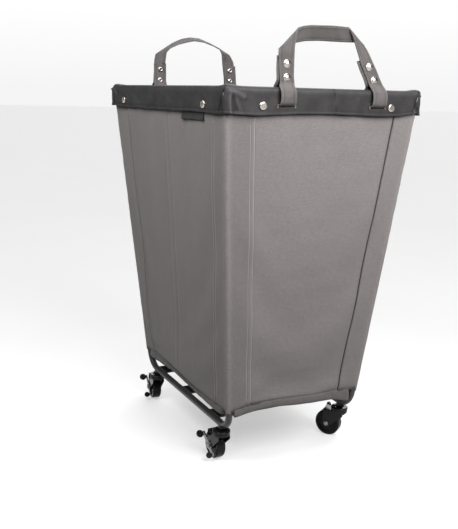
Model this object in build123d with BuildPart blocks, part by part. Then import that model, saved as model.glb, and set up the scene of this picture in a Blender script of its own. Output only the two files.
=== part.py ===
"""Laundry sorter on wheels.

A canvas bag with a sewn-in divider hangs on a frame of bent steel tube. A vinyl band
closes the rim over the top rails, two webbing handles loop round the end rails, and the
frame stands on four swivel casters with side brake levers.

Millimetres. +X is along the long (540 mm) side, +Y along the short side and +Z up. The
origin is on the floor at the middle of the base. The front is the long side at -Y.
"""
import os
from math import atan2, cos, hypot, radians, sin, sqrt

from build123d import *

os.makedirs("parts", exist_ok=True)

# ---------------------------------------------------------------- driving dimensions
RIM_WIDTH = 540.0       # over the rim band, along X: 558 over the handle loops
RIM_DEPTH = 400.0       # over the rim band, along Y: 406 over the snaps
RIM_HEIGHT = 685.0      # floor to the top of the rim

TUBE_R = 6.35           # steel frame tube
TUBE_WALL = 1.2
BEND_R = 34.0           # centre-line radius of the bottom bends
RAIL_Y = 131.5          # centre line of a bottom rail
RAIL_Z = 72.5
SEAM_Z = 110.0          # where the walls end and the legs leave the bag
SEAM_LEG_X = 190.0      # leg centre line at the seam

CANVAS = 1.2            # bag cloth
VINYL = 1.6             # rim band
GAP = 0.15              # cloth to the tube inside it

BAND_HEIGHT = 42.0      # outer flap of the band
BAND_INNER = 24.0       # inner flap of the band
BAND_CORNER_R = 9.0
BAND_FOLD_R = 7.0       # roll of the band over the rails
BAND_AIR = 1.55         # slack between the top rails and the band
MITRE_GAP = 0.1

CONNECTOR_REACH = 13.0  # corner connector, from its centre to the tube's end
SPIGOT_R = 5.0
SPIGOT_LENGTH = 20.0

SLAT_WIDTH = 38.0
SLAT_THICK = 2.5
SLAT_X = 125.0          # outer slats, from the middle one

TRAY_HALF_X = 172.0     # flat part of the bag's floor
TRAY_HALF_Y = 120.0
FLOOR_Z = 101.0         # underside of the bag's floor, held clear of the slats until it is loaded
HEM_HEIGHT = 12.0
HEM_THICK = 2.2
DIVIDER_TOP_Z = 640.0

SNAP_Z = 654.5
SNAP_END_Y = 130.0      # snaps on the short sides
SNAP_SIDE_X = 192.5     # snaps on the long sides
SNAP_R = 7.2
SNAP_DOME = 3.0
SNAP_POST_R = 2.0

STRAP_WIDTH = 30.0
STRAP_THICK = 2.2
STRAP_Y = 91.0          # a handle's legs, from the middle of the rim
SLIT_Z = 655.0
SLIT_WIDTH = 32.5
SLIT_HEIGHT = 4.0
ANCHOR_TOP_Z = 690.5
PIVOT_Z = 693.5
HANDLE_TOP_Z = 797.0
HANDLE_ELBOW_Z = 748.0
TAB_TOP_Z = 737.0       # free end of the doubled strap
RIVET_Z = (701.5, 724.5)
RIVET_R = 6.8
EYELET_R = 6.0

LABEL_WIDTH = 93.0
LABEL_DROP = 16.0
LABEL_X = 146.0
LABEL_THICK = 0.8

WHEEL_R = 25.0
WHEEL_HALF = 9.0
TRAIL = 22.0            # swivel axis to the axle
STEM_X = 155.5
FORK_Z = 51.5           # underside of the fork's top plate
FORK_PLATE = 2.0
FORK_HALF = 12.5        # outside of the fork's cheeks
RACE_R = 16.0
AXLE_R = 3.0
RUNNING = 0.05          # radial clearance of turning fits
LEVER_IN = 12.8         # inner face of the brake lever
LEVER_THICK = 2.0
UPPER_PAD_AT = 25.0     # pad centres, from the axle
LOWER_PAD_AT = 19.5
LEVER_OFF = 38.0        # lever above the horizontal, degrees: brake off
LEVER_ON = 70.0         # brake on

# name: (x side, y side, direction of the trail in degrees, lever side, lever angle)
CASTERS = {
    "front_right": (1, -1, 182.0, 1, LEVER_OFF),
    "front_left": (-1, -1, 172.0, 1, LEVER_OFF),
    "rear_right": (1, 1, 213.0, -1, LEVER_ON),
    "rear_left": (-1, 1, 200.0, -1, LEVER_OFF),
}

# ---------------------------------------------------------------- worked-out places
HALF_W = RIM_WIDTH / 2
HALF_D = RIM_DEPTH / 2
BAND_TO_RAIL = VINYL + 0.3 + CANVAS + GAP + TUBE_R
TOP_X = HALF_W - BAND_TO_RAIL
TOP_Y = HALF_D - BAND_TO_RAIL
TOP_Z = RIM_HEIGHT - VINYL - BAND_AIR - TUBE_R

X_SLOPE = (TOP_X - SEAM_LEG_X) / (TOP_Z - SEAM_Z)
Y_SLOPE = (TOP_Y - RAIL_Y) / (TOP_Z - RAIL_Z)
CLOTH_IN = TUBE_R + GAP             # leg centre line to the inside of a wall
CLOTH_OUT = CLOTH_IN + CANVAS
HANDLE_X = TOP_X + 0.6
SIDES = {"front": (0, -1), "rear": (0, 1), "left": (-1, 0), "right": (1, 0)}
CORNERS = [(sx, sy) for sx in (-1, 1) for sy in (-1, 1)]


def leg_x(z):
    """Distance of a leg's centre line from the YZ plane at height z."""
    return SEAM_LEG_X + (z - SEAM_Z) * X_SLOPE


def leg_y(z):
    """Distance of a leg's centre line from the XZ plane at height z."""
    return RAIL_Y + (z - RAIL_Z) * Y_SLOPE


def leg_down(sx, sy):
    """Unit vector down the leg at one corner."""
    return Vector(-sx * X_SLOPE, -sy * Y_SLOPE, -1).normalized()


def wall_normal(dx, dy):
    """Outward normal of the wall that faces (dx, dy)."""
    slope = X_SLOPE if dx else Y_SLOPE
    return Vector(dx, dy, -slope).normalized()


def wall_plane(dx, dy, out=0.0):
    """Plane of a wall, its local Y up the slope, moved out along its normal."""
    normal = wall_normal(dx, dy)
    foot = Vector(dx * leg_x(SEAM_Z), dy * leg_y(SEAM_Z), SEAM_Z)
    return Plane(origin=foot + normal * out, x_dir=(-dy, dx, 0), z_dir=normal)


def save(solid, name):
    """Label a finished piece and write it to its own STEP file."""
    solid.label = name
    export_step(solid, f"parts/{name}.step")


# ---------------------------------------------------------------- tube frame
def hoop_wire_plane(side):
    """Plane of one side hoop: local X along the rail, local Y up the leaning legs."""
    lean = atan2(Y_SLOPE, 1)
    return Plane(
        origin=(0, side * RAIL_Y, RAIL_Z), x_dir=(1, 0, 0), z_dir=(0, -cos(lean), side * sin(lean))
    )


def hoop_sweep(side, outer, inner=None):
    """Bottom rail and two legs of one long side as a swept ring or rod."""
    stretch = hypot(1, Y_SLOPE)
    leg_top = Vector(TOP_X, 0, TOP_Z) + leg_down(1, 0) * CONNECTOR_REACH
    top_point = (leg_top.X, (leg_top.Z - RAIL_Z) * stretch)
    foot_point = (leg_x(RAIL_Z), 0)
    route = [(-top_point[0], top_point[1]), (-foot_point[0], 0), foot_point, top_point]
    with BuildPart() as hoop:
        with BuildLine(hoop_wire_plane(side)) as path:
            FilletPolyline(route, radius=BEND_R)
        with BuildSketch(Plane(origin=path.line @ 0, z_dir=path.line % 0)):
            Circle(outer)
            if inner:
                Circle(inner, mode=Mode.SUBTRACT)
        sweep(path=path.line)
    return hoop.part


for name, side in (("front", -1), ("rear", 1)):
    with BuildPart() as side_hoop:
        add(hoop_sweep(side, TUBE_R, TUBE_R - TUBE_WALL))
        with Locations(*[(sx * STEM_X, side * RAIL_Y, RAIL_Z) for sx in (-1, 1)]):
            Cylinder(5.0, TUBE_R + 4, align=(Align.CENTER, Align.CENTER, Align.MAX), mode=Mode.SUBTRACT)
    save(side_hoop.part, f"{name}_side_hoop")


def top_rail(dx, dy):
    """Straight tube along the rim on the side that faces (dx, dy)."""
    reach = (TOP_Y if dx else TOP_X) - CONNECTOR_REACH
    along = Vector(-dy, dx, 0)
    start = Vector(dx * TOP_X, dy * TOP_Y, TOP_Z) - along * reach
    with BuildPart() as rail:
        with BuildSketch(Plane(origin=start, z_dir=along)):
            Circle(TUBE_R)
            Circle(TUBE_R - TUBE_WALL, mode=Mode.SUBTRACT)
        extrude(amount=2 * reach)
    return rail.part


for name, (dx, dy) in SIDES.items():
    save(top_rail(dx, dy), f"{name}_top_rail")

with BuildPart() as corner_connectors:
    for sx, sy in CORNERS:
        centre = Vector(sx * TOP_X, sy * TOP_Y, TOP_Z)
        with Locations(centre):
            Sphere(TUBE_R)
        for arm in (Vector(-sx, 0, 0), Vector(0, -sy, 0), leg_down(sx, sy)):
            with BuildSketch(Plane(origin=centre, z_dir=arm)):
                Circle(TUBE_R)
            extrude(amount=CONNECTOR_REACH)
            with BuildSketch(Plane(origin=centre, z_dir=arm)):
                Circle(SPIGOT_R)
            extrude(amount=CONNECTOR_REACH + SPIGOT_LENGTH)
save(corner_connectors.part, "corner_connectors")

SOCKET_Z = 65.6         # lower face of a caster socket
SOCKET_TOP = 73.4
with BuildPart() as caster_sockets:
    with Locations(*[(sx * STEM_X, sy * RAIL_Y, SOCKET_Z) for sx, sy in CORNERS]):
        Cylinder(6.2, 5.0, align=(Align.CENTER, Align.CENTER, Align.MIN))
    with Locations(*[(0, sy * RAIL_Y, RAIL_Z) for sy in (-1, 1)]):
        Cylinder(TUBE_R, 2 * STEM_X + 40, rotation=(0, 90, 0), mode=Mode.SUBTRACT)
    with Locations(*[(sx * STEM_X, sy * RAIL_Y, SOCKET_Z) for sx, sy in CORNERS]):
        Cylinder(5.0, SOCKET_TOP - SOCKET_Z, align=(Align.CENTER, Align.CENTER, Align.MIN))
        Cylinder(
            4.0 + RUNNING, SOCKET_TOP - SOCKET_Z - 0.3,
            align=(Align.CENTER, Align.CENTER, Align.MIN), mode=Mode.SUBTRACT,
        )
save(caster_sockets.part, "caster_sockets")

for name, x in (("left", -SLAT_X), ("middle", 0.0), ("right", SLAT_X)):
    with BuildPart() as base_slat:
        with BuildSketch(Plane.XY.offset(RAIL_Z + TUBE_R)):
            with Locations((x, 0)):
                Rectangle(SLAT_WIDTH, 2 * RAIL_Y)
        extrude(amount=SLAT_THICK)
    save(base_slat.part, f"base_slat_{name}")


# ---------------------------------------------------------------- cloth bag
def slit_cutters():
    """Places of the four strap slits, as centre points on the rim's short sides."""
    return [(sx * (HALF_W - 10), sy * STRAP_Y, SLIT_Z) for sx in (-1, 1) for sy in (-1, 1)]


def snap_planes():
    """Planes at the eight snaps, each on the band's outer face with its normal outward."""
    ends = [((dx * HALF_W, sy * SNAP_END_Y), (dx, 0)) for dx in (-1, 1) for sy in (-1, 1)]
    long_sides = [((sx * SNAP_SIDE_X, dy * HALF_D), (0, dy)) for dy in (-1, 1) for sx in (-1, 1)]
    return [Plane(origin=(x, y, SNAP_Z), z_dir=(dx, dy, 0)) for (x, y), (dx, dy) in ends + long_sides]


def cut_rim_openings():
    """Cut the strap slits and snap holes out of the part being built."""
    with Locations(*slit_cutters()):
        Box(40, SLIT_WIDTH, SLIT_HEIGHT, mode=Mode.SUBTRACT)
    with Locations(*[plane.location for plane in snap_planes()]):
        Cylinder(SNAP_POST_R + 0.1, 30, mode=Mode.SUBTRACT)


WALL_TOP_Z = TOP_Z - 1.0


def bag_wall(dx, dy):
    """Flat canvas wall between two legs, with the openings for straps and snaps."""
    slope = X_SLOPE if dx else Y_SLOPE
    half = leg_y if dx else leg_x
    height = (WALL_TOP_Z - SEAM_Z) * hypot(1, slope)
    low, high = half(SEAM_Z), half(WALL_TOP_Z)
    with BuildPart() as wall:
        with BuildSketch(wall_plane(dx, dy, CLOTH_IN)):
            Polygon((-low, 0), (low, 0), (high, height), (-high, height), align=None)
        extrude(amount=CANVAS)
        cut_rim_openings()
    return wall.part


for name, (dx, dy) in SIDES.items():
    save(bag_wall(dx, dy), f"{name}_wall")


def leg_section(sx, sy):
    """Plane across a leg at the seam, and the two wall normals in its coordinates."""
    foot = Vector(sx * leg_x(SEAM_Z), sy * leg_y(SEAM_Z), SEAM_Z)
    plane = Plane(origin=foot, x_dir=wall_normal(sx, 0), z_dir=-leg_down(sx, sy))
    other = plane.to_local_coords(foot + wall_normal(0, sy))
    return plane, Vector(1, 0, 0), Vector(other.X, other.Y, 0)


SLEEVE_LENGTH = 556.0
with BuildPart() as corner_wraps:
    for sx, sy in CORNERS:
        section, first, second = leg_section(sx, sy)
        far = (first + second) * 20
        with BuildSketch(section):
            Circle(CLOTH_OUT)
            Circle(CLOTH_IN, mode=Mode.SUBTRACT)
            Polygon(
                (0, 0), tuple(first * 20)[:2], tuple(far)[:2], tuple(second * 20)[:2],
                align=None, mode=Mode.INTERSECT,
            )
        extrude(amount=SLEEVE_LENGTH)
save(corner_wraps.part, "corner_wraps")

POCKET_BACK = CLOTH_IN + CANVAS / 2 + 0.1
with BuildPart() as leg_pockets:
    for sx, sy in CORNERS:
        section, first, second = leg_section(sx, sy)
        inward = -(first + second).normalized()
        strip = POCKET_BACK + CLOTH_IN * sqrt(2) - CANVAS
        turn = Vector(1, 0, 0).get_signed_angle(first - second, Vector(0, 0, 1))
        with BuildSketch(section):
            with Locations(Location(tuple(inward * POCKET_BACK), (0, 0, turn))):
                Rectangle(2 * strip, CANVAS)
        extrude(amount=SLEEVE_LENGTH)
save(leg_pockets.part, "leg_pockets")

TRAY_TOP_Z = SEAM_Z - 0.5
TRAY_INSET = 1.4
TRAY_TOP = (leg_x(TRAY_TOP_Z) + CLOTH_IN - TRAY_INSET, leg_y(TRAY_TOP_Z) + CLOTH_IN - TRAY_INSET)
NOTCH = 24.0            # square cut from the tray where each leg passes its corner


def tray_block(inset, low_z):
    """Shallow tapered block: the bag's floor and its edges, shrunk by inset."""
    with BuildPart() as block:
        with BuildSketch(Plane.XY.offset(low_z)):
            Rectangle(2 * (TRAY_HALF_X - inset), 2 * (TRAY_HALF_Y - inset))
        with BuildSketch(Plane.XY.offset(TRAY_TOP_Z)):
            Rectangle(2 * (TRAY_TOP[0] - inset), 2 * (TRAY_TOP[1] - inset))
        loft()
    return block.part


with BuildPart() as bottom_panel:
    add(tray_block(0.0, FLOOR_Z))
    add(tray_block(CANVAS, FLOOR_Z + CANVAS), mode=Mode.SUBTRACT)
    for side in (-1, 1):
        add(hoop_sweep(side, TUBE_R + 0.6), mode=Mode.SUBTRACT)
    with Locations(*[(sx * (TRAY_TOP[0] + 2), sy * (TRAY_TOP[1] + 2), SEAM_Z) for sx, sy in CORNERS]):
        Box(NOTCH, NOTCH, 3 * NOTCH, mode=Mode.SUBTRACT)
    Box(CANVAS, 2 * HALF_D, 2 * SEAM_Z, mode=Mode.SUBTRACT)
save(bottom_panel.part, "bottom_panel")

with BuildPart() as bottom_hem:
    for dx, dy in SIDES.values():
        half = (leg_y if dx else leg_x)(SEAM_Z) - TUBE_R - 6
        reach = (leg_x if dx else leg_y)(SEAM_Z) + CLOTH_OUT - HEM_THICK / 2
        size = (HEM_THICK, 2 * half) if dx else (2 * half, HEM_THICK)
        with BuildSketch(Plane.XY.offset(SEAM_Z - HEM_HEIGHT)):
            with Locations((dx * reach, dy * reach)):
                Rectangle(*size)
        extrude(amount=HEM_HEIGHT - 1.4)
save(bottom_hem.part, "bottom_hem")

with BuildPart() as divider:
    low = (TRAY_HALF_Y, FLOOR_Z)
    seam = (TRAY_TOP[1], TRAY_TOP_Z)
    top = (leg_y(DIVIDER_TOP_Z) + CLOTH_IN - 1, DIVIDER_TOP_Z)
    right_edge = [low, seam, top]
    left_edge = [(-y, z) for y, z in reversed(right_edge)]
    with BuildSketch(Plane.YZ):
        Polygon(*right_edge, *left_edge, align=None)
    extrude(amount=CANVAS / 2, both=True)
save(divider.part, "divider")

# ---------------------------------------------------------------- rim band
BAND_INNER_X = TOP_X - TUBE_R - 0.5 - VINYL
BAND_INNER_Y = TOP_Y - TUBE_R - 0.5 - VINYL


def band_ring(grow, low_z, high_z, roll):
    """Rounded rectangular ring over the rails, grown or shrunk evenly by grow."""
    with BuildPart() as ring:
        with BuildSketch(Plane.XY.offset(low_z)):
            RectangleRounded(2 * (HALF_W + grow), 2 * (HALF_D + grow), BAND_CORNER_R + grow)
            RectangleRounded(
                2 * (BAND_INNER_X - grow), 2 * (BAND_INNER_Y - grow), 4.0 - grow, mode=Mode.SUBTRACT
            )
        extrude(amount=high_z - low_z)
        fillet(ring.faces().sort_by(Axis.Z)[-1].edges(), roll)
    return ring.part


with BuildPart() as rim_band:
    add(band_ring(0.0, RIM_HEIGHT - BAND_HEIGHT, RIM_HEIGHT, BAND_FOLD_R))
    add(
        band_ring(-VINYL, RIM_HEIGHT - BAND_HEIGHT, RIM_HEIGHT - VINYL, BAND_FOLD_R - VINYL),
        mode=Mode.SUBTRACT,
    )
    with BuildSketch(Plane.XY.offset(RIM_HEIGHT - BAND_HEIGHT)):
        Rectangle(2 * TOP_X, 2 * TOP_Y)
    extrude(amount=BAND_HEIGHT - BAND_INNER, mode=Mode.SUBTRACT)
    cut_rim_openings()
    for sx, sy in CORNERS:
        with BuildSketch(Plane.XY.offset(RIM_HEIGHT - BAND_HEIGHT)):
            with Locations(Location((sx * HALF_W, sy * HALF_D), 45 * sx * sy)):
                Rectangle(160, MITRE_GAP)
        extrude(amount=BAND_HEIGHT, mode=Mode.SUBTRACT)
save(rim_band.part, "rim_band")

with BuildPart() as snap:
    with BuildSketch():
        Circle(SNAP_R)
    extrude(amount=SNAP_DOME)
    fillet(snap.faces().sort_by(Axis.Z)[-1].edges(), SNAP_DOME - 0.5)
    with BuildSketch():
        Circle(SNAP_POST_R)
    extrude(amount=-9.0)
    with BuildSketch(Plane.XY.offset(-9.0)):
        Circle(5.5)
    extrude(amount=1.2)

with BuildPart() as band_snaps:
    with Locations(*[plane.location for plane in snap_planes()]):
        add(snap.part)
save(band_snaps.part, "band_snaps")

with BuildPart() as blank_label:
    with BuildSketch(Plane.XZ.offset(HALF_D - VINYL - 0.1)):
        with Locations((LABEL_X, RIM_HEIGHT - BAND_HEIGHT - LABEL_DROP)):
            Rectangle(LABEL_WIDTH, LABEL_DROP + 3.5, align=(Align.CENTER, Align.MIN))
    extrude(amount=-LABEL_THICK)
save(blank_label.part, "blank_label")


# ---------------------------------------------------------------- webbing handles
def anchor_outline(end):
    """Both layers of one strap end in the XZ plane: down outside the band, in through
    the slit and up inside the bag."""
    centre = end * HANDLE_X
    layer = STRAP_THICK / 2 + 0.1
    out = [(layer, ANCHOR_TOP_Z), (4.5, 688.6), (14.5, 682.0), (17.0, 669.0), (12.5, SLIT_Z)]
    back = [(-8.0, SLIT_Z), (-13.2, 662.0), (-13.2, 682.5), (-5.5, 689.0), (-layer, ANCHOR_TOP_Z)]
    return [(centre + end * x, z) for x, z in out + back]


for name, end in (("left", -1), ("right", 1)):
    with BuildPart() as handle_anchor:
        for sy in (-1, 1):
            with BuildSketch(Plane.XZ.offset(-sy * STRAP_Y)):
                with BuildLine() as loop:
                    FilletPolyline(anchor_outline(end), radius=2.5)
                trace(loop.line, STRAP_THICK)
            extrude(amount=STRAP_WIDTH / 2, both=True)
    save(handle_anchor.part, f"handle_anchor_{name}")


def strap_outline():
    """Inverted U of flat webbing: outer and inner outlines as (y, z) points."""
    half = STRAP_WIDTH / 2
    foot = PIVOT_Z + 0.5
    outer = [(STRAP_Y + half, foot), (STRAP_Y + half, HANDLE_ELBOW_Z), (68.0, HANDLE_TOP_Z)]
    inner = [(STRAP_Y - half, foot), (STRAP_Y - half, HANDLE_ELBOW_Z - 8), (54.0, HANDLE_TOP_Z - STRAP_WIDTH)]
    return [line + [(-y, z) for y, z in reversed(line)] for line in (outer, inner)]


with BuildPart() as handle_rivet:
    with BuildSketch():
        Circle(RIVET_R)
    extrude(amount=SNAP_DOME)
    fillet(handle_rivet.faces().sort_by(Axis.Z)[-1].edges(), SNAP_DOME - 0.5)
    with BuildSketch():
        Circle(2.5)
    extrude(amount=-2 * STRAP_THICK - 1.2)
    with BuildSketch(Plane.XY.offset(-2 * STRAP_THICK - 1.2)):
        Circle(1.7)
    extrude(amount=4.5, mode=Mode.SUBTRACT)

with BuildPart() as eyelet:
    with BuildSketch(Plane.XY.offset(-2 * STRAP_THICK - 1.2)):
        Circle(EYELET_R)
        Circle(2.5 + RUNNING, mode=Mode.SUBTRACT)
    extrude(amount=1.0)
    fillet(eyelet.faces().sort_by(Axis.Z)[0].edges(), 0.4)

for name, end in (("left", -1), ("right", 1)):
    rivet_points = [(sy * STRAP_Y, z) for sy in (-1, 1) for z in RIVET_Z]
    with BuildPart() as handle_strap:
        outer, inner = strap_outline()
        with BuildSketch(Plane.YZ.offset(end * HANDLE_X)):
            Polygon(*outer, align=None)
            Polygon(*inner, align=None, mode=Mode.SUBTRACT)
        extrude(amount=STRAP_THICK + 0.1)
        with BuildSketch(Plane.YZ.offset(end * HANDLE_X)):
            for sy in (-1, 1):
                with Locations((sy * STRAP_Y, PIVOT_Z + 0.5)):
                    Rectangle(STRAP_WIDTH, TAB_TOP_Z - PIVOT_Z - 0.5, align=(Align.CENTER, Align.MIN))
        extrude(amount=-STRAP_THICK - 0.1)
        with Locations(*[(end * HANDLE_X, y, z) for y, z in rivet_points]):
            Cylinder(2.6, 10, rotation=(0, 90, 0), mode=Mode.SUBTRACT)
    save(handle_strap.part, f"handle_strap_{name}")

    with BuildPart() as handle_rivets:
        for y, z in rivet_points:
            face = Plane(origin=(end * (HANDLE_X + STRAP_THICK + 0.1), y, z), z_dir=(end, 0, 0))
            with Locations(face.location):
                add(handle_rivet.part)
                add(eyelet.part)
    save(handle_rivets.part, f"handle_rivets_{name}")


# ---------------------------------------------------------------- casters
# Each caster is drawn with its swivel axis on Z and its wheel trailing along +X, and is
# then turned and moved to its corner. "side" is the side of the brake lever along Y.
CUP_Z = 57.0            # underside of the upper race cup
CUP_TOP = 61.5
RACE_TOP = 56.2         # top of the fork's race ring
BALL_R = 1.6
BALL_PITCH_R = 11.0
BALL_COUNT = 10
HEX_Z = 59.6
HEX_FLATS = 13.0
KINGPIN_R = 4.0


def ball_groove():
    """Cut the ball track shared by the cup and the fork's race ring."""
    with Locations((0, 0, (CUP_Z + RACE_TOP) / 2)):
        Torus(BALL_PITCH_R, BALL_R + 0.1, mode=Mode.SUBTRACT)


def disc(radius, low_z, high_z, mode=Mode.ADD):
    """Add or cut an upright cylinder on the swivel axis."""
    with Locations((0, 0, low_z)):
        Cylinder(radius, high_z - low_z, align=(Align.CENTER, Align.CENTER, Align.MIN), mode=mode)


def caster_stem():
    """Threaded stem, hexagon and riveted kingpin, turned from one bar."""
    with BuildPart() as stem:
        disc(6.5, 49.6, 51.3)
        fillet(stem.faces().sort_by(Axis.Z)[0].edges(), 1.0)
        disc(KINGPIN_R, 51.3, SOCKET_TOP - 0.6)
        with BuildSketch(Plane.XY.offset(HEX_Z)):
            RegularPolygon(HEX_FLATS / 2, 6, major_radius=False)
        extrude(amount=SOCKET_Z - HEX_Z)
    return stem.part


def caster_cup():
    """Upper race cup, domed at its edge and dished round the hexagon."""
    with BuildPart() as cup:
        disc(RACE_R + 0.5, CUP_Z, CUP_TOP)
        fillet(cup.faces().sort_by(Axis.Z)[-1].edges(), 2.2)
        disc(10.0, HEX_Z, CUP_TOP, Mode.SUBTRACT)
        disc(KINGPIN_R + RUNNING, CUP_Z, CUP_TOP, Mode.SUBTRACT)
        ball_groove()
    return cup.part


def caster_fork():
    """Pressed fork: top plate with a race ring, and two cheeks down to the axle."""
    cheek = [(-11, FORK_Z + FORK_PLATE), (29.5, FORK_Z + FORK_PLATE), (30, 25), (14.5, 22), (-11, 45)]
    with BuildPart() as fork:
        with BuildSketch(Plane.XZ):
            Polygon(*cheek, align=None)
            with Locations((TRAIL, WHEEL_R)):
                Circle(8)
        extrude(amount=FORK_HALF, both=True)
        fillet(fork.faces().sort_by(Axis.Z)[-1].edges().filter_by(Axis.X), 1.8)
        with Locations((10, 0, 0)):
            Box(
                80, 2 * (FORK_HALF - FORK_PLATE), FORK_Z,
                align=(Align.CENTER, Align.CENTER, Align.MIN), mode=Mode.SUBTRACT,
            )
        disc(RACE_R - 0.6, FORK_Z, FORK_Z + FORK_PLATE)
        disc(RACE_R, FORK_Z + FORK_PLATE - 0.8, RACE_TOP)
        disc(KINGPIN_R + RUNNING, FORK_Z, RACE_TOP, Mode.SUBTRACT)
        ball_groove()
        with Locations((TRAIL, 0, WHEEL_R)):
            Cylinder(AXLE_R, 60, rotation=(90, 0, 0), mode=Mode.SUBTRACT)
    return fork.part


def caster_wheel():
    """Moulded wheel with a rounded tread, recessed faces and a hub."""
    hub = Plane(origin=(TRAIL, 0, WHEEL_R), x_dir=(1, 0, 0), z_dir=(0, 1, 0))
    with BuildPart() as wheel:
        with BuildSketch(hub):
            Circle(WHEEL_R)
        extrude(amount=WHEEL_HALF, both=True)
        fillet(wheel.edges(), 2.8)
        for face in (hub.offset(WHEEL_HALF), hub.offset(-WHEEL_HALF)):
            with BuildSketch(face):
                Circle(19.0)
            extrude(amount=3.0, both=True, mode=Mode.SUBTRACT)
        with BuildSketch(hub):
            Circle(7.5)
        extrude(amount=WHEEL_HALF + 1, both=True)
        with BuildSketch(hub):
            Circle(AXLE_R + RUNNING)
        extrude(amount=WHEEL_HALF + 2, both=True, mode=Mode.SUBTRACT)
    return wheel.part


def axle_plane(side, out, angle=0.0):
    """Plane across the axle, its normal towards the lever side and local X at an angle."""
    turn = radians(angle)
    return Plane(origin=(TRAIL, side * out, WHEEL_R), x_dir=(cos(turn), 0, sin(turn)), z_dir=(0, side, 0))


LEVER_OUT = LEVER_IN + LEVER_THICK


def caster_axle(side):
    """Riveted axle, domed at both ends."""
    with BuildPart() as axle:
        with BuildSketch(axle_plane(side, -FORK_HALF)):
            Circle(AXLE_R)
        extrude(amount=FORK_HALF + LEVER_OUT + 0.3)
        for start, height in ((-FORK_HALF, -2.2), (LEVER_OUT + 0.3, 2.0)):
            with BuildSketch(axle_plane(side, start)):
                Circle(4.75)
            extrude(amount=height)
        caps = axle.faces().sort_by(Axis.Y)
        fillet(caps[0].edges() + caps[-1].edges(), 1.6)
    return axle.part


PADS = ((UPPER_PAD_AT, 7.0), (-LOWER_PAD_AT, 5.6))
TONGUE_THICK = 1.8
PAD_HALF = 2.3


def lever_tongue(side, angle, at, radius, slack=0.0):
    """Steel tongue at one end of the lever, larger by slack for its pad's pocket."""
    length = LEVER_THICK + radius + 3.5
    with BuildPart() as box:
        with BuildSketch(axle_plane(side, LEVER_IN - slack, angle)):
            with Locations((at, 0)):
                Rectangle(radius + 2 * slack, TONGUE_THICK + 2 * slack)
        extrude(amount=length + 2 * slack)
    return box.part


def caster_lever(side, angle):
    """Double-ended brake lever: flat arms on the axle with a tongue at each end."""
    with BuildPart() as lever:
        with BuildSketch(axle_plane(side, LEVER_IN, angle)):
            Circle(7.5)
            reach = UPPER_PAD_AT + LOWER_PAD_AT
            with Locations(((UPPER_PAD_AT - LOWER_PAD_AT) / 2, 0)):
                SlotOverall(reach + 8, 8.0)
            Circle(AXLE_R + RUNNING, mode=Mode.SUBTRACT)
        extrude(amount=LEVER_THICK)
        for at, radius in PADS:
            add(lever_tongue(side, angle, at, radius))
    return lever.part


def brake_pad(side, angle, at, radius):
    """One moulded pad, with a pocket for the lever's tongue."""
    turn = radians(angle)
    out = LEVER_OUT + 0.5 + radius
    centre = (TRAIL + at * cos(turn), side * out, WHEEL_R + at * sin(turn))
    with BuildPart() as pad:
        with BuildSketch(Plane(origin=centre, x_dir=(0, 1, 0), z_dir=(-sin(turn), 0, cos(turn)))):
            Circle(radius)
        extrude(amount=PAD_HALF, both=True)
        fillet(pad.edges(), 1.4)
        add(lever_tongue(side, angle, at, radius, 0.02), mode=Mode.SUBTRACT)
    return pad.part


def caster_pads(side, angle):
    """Two moulded pads pushed over the lever's tongues."""
    with BuildPart() as pads:
        for at, radius in PADS:
            add(brake_pad(side, angle, at, radius))
    return pads.part


with BuildPart() as swivel_balls:
    for sx, sy, *_ in CASTERS.values():
        with Locations((sx * STEM_X, sy * RAIL_Y, (CUP_Z + RACE_TOP) / 2)):
            with PolarLocations(BALL_PITCH_R, BALL_COUNT):
                Sphere(BALL_R)
save(swivel_balls.part, "swivel_balls")

for name, (sx, sy, heading, side, angle) in CASTERS.items():
    place = Location((sx * STEM_X, sy * RAIL_Y, 0), (0, 0, heading))
    pieces = {
        "stem": caster_stem(),
        "race_cup": caster_cup(),
        "fork": caster_fork(),
        "wheel": caster_wheel(),
        "axle": caster_axle(side),
        "brake_lever": caster_lever(side, angle),
        "brake_pads": caster_pads(side, angle),
    }
    for piece, shape in pieces.items():
        save(place * shape, f"{name}_{piece}")
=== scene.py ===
"""Looks of the laundry sorter on wheels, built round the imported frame.

Metres in the part's own frame: +X along the long side, +Z up and the front at -Y. Each cloth
is a grid of points with UVs in metres, so its weave keeps its real scale. Columns of a grid
run anticlockwise round the rim as seen from above, and rows run up, so faces look outward.
"""

from math import ceil, cos, hypot, pi, radians, sin

import bmesh
import bpy
import numpy as np
from mathutils import Matrix, Vector


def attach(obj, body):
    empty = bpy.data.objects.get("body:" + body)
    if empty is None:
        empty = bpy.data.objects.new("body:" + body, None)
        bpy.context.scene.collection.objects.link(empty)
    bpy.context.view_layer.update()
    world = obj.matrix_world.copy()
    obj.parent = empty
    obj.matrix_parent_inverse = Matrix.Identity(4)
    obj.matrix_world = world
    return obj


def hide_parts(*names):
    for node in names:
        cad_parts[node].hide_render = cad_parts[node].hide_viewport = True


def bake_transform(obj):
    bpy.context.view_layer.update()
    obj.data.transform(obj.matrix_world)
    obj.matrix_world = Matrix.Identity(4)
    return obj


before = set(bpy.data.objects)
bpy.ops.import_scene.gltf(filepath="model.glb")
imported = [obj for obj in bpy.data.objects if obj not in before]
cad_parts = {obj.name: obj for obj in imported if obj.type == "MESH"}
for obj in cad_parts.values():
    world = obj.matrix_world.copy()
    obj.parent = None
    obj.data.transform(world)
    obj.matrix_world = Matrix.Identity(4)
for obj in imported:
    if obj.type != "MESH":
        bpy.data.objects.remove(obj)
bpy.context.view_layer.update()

# ---------------------------------------------------------------- sizes
RIM = Vector((0.270, 0.200, 0.685))         # half width, half depth and height of the band
RAIL = Vector((0.2604, 0.1904, 0.6755))     # centre lines of the top rails
SEAM = Vector((0.190, 0.1352, 0.110))       # the legs' centre lines at the bottom seam
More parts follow.
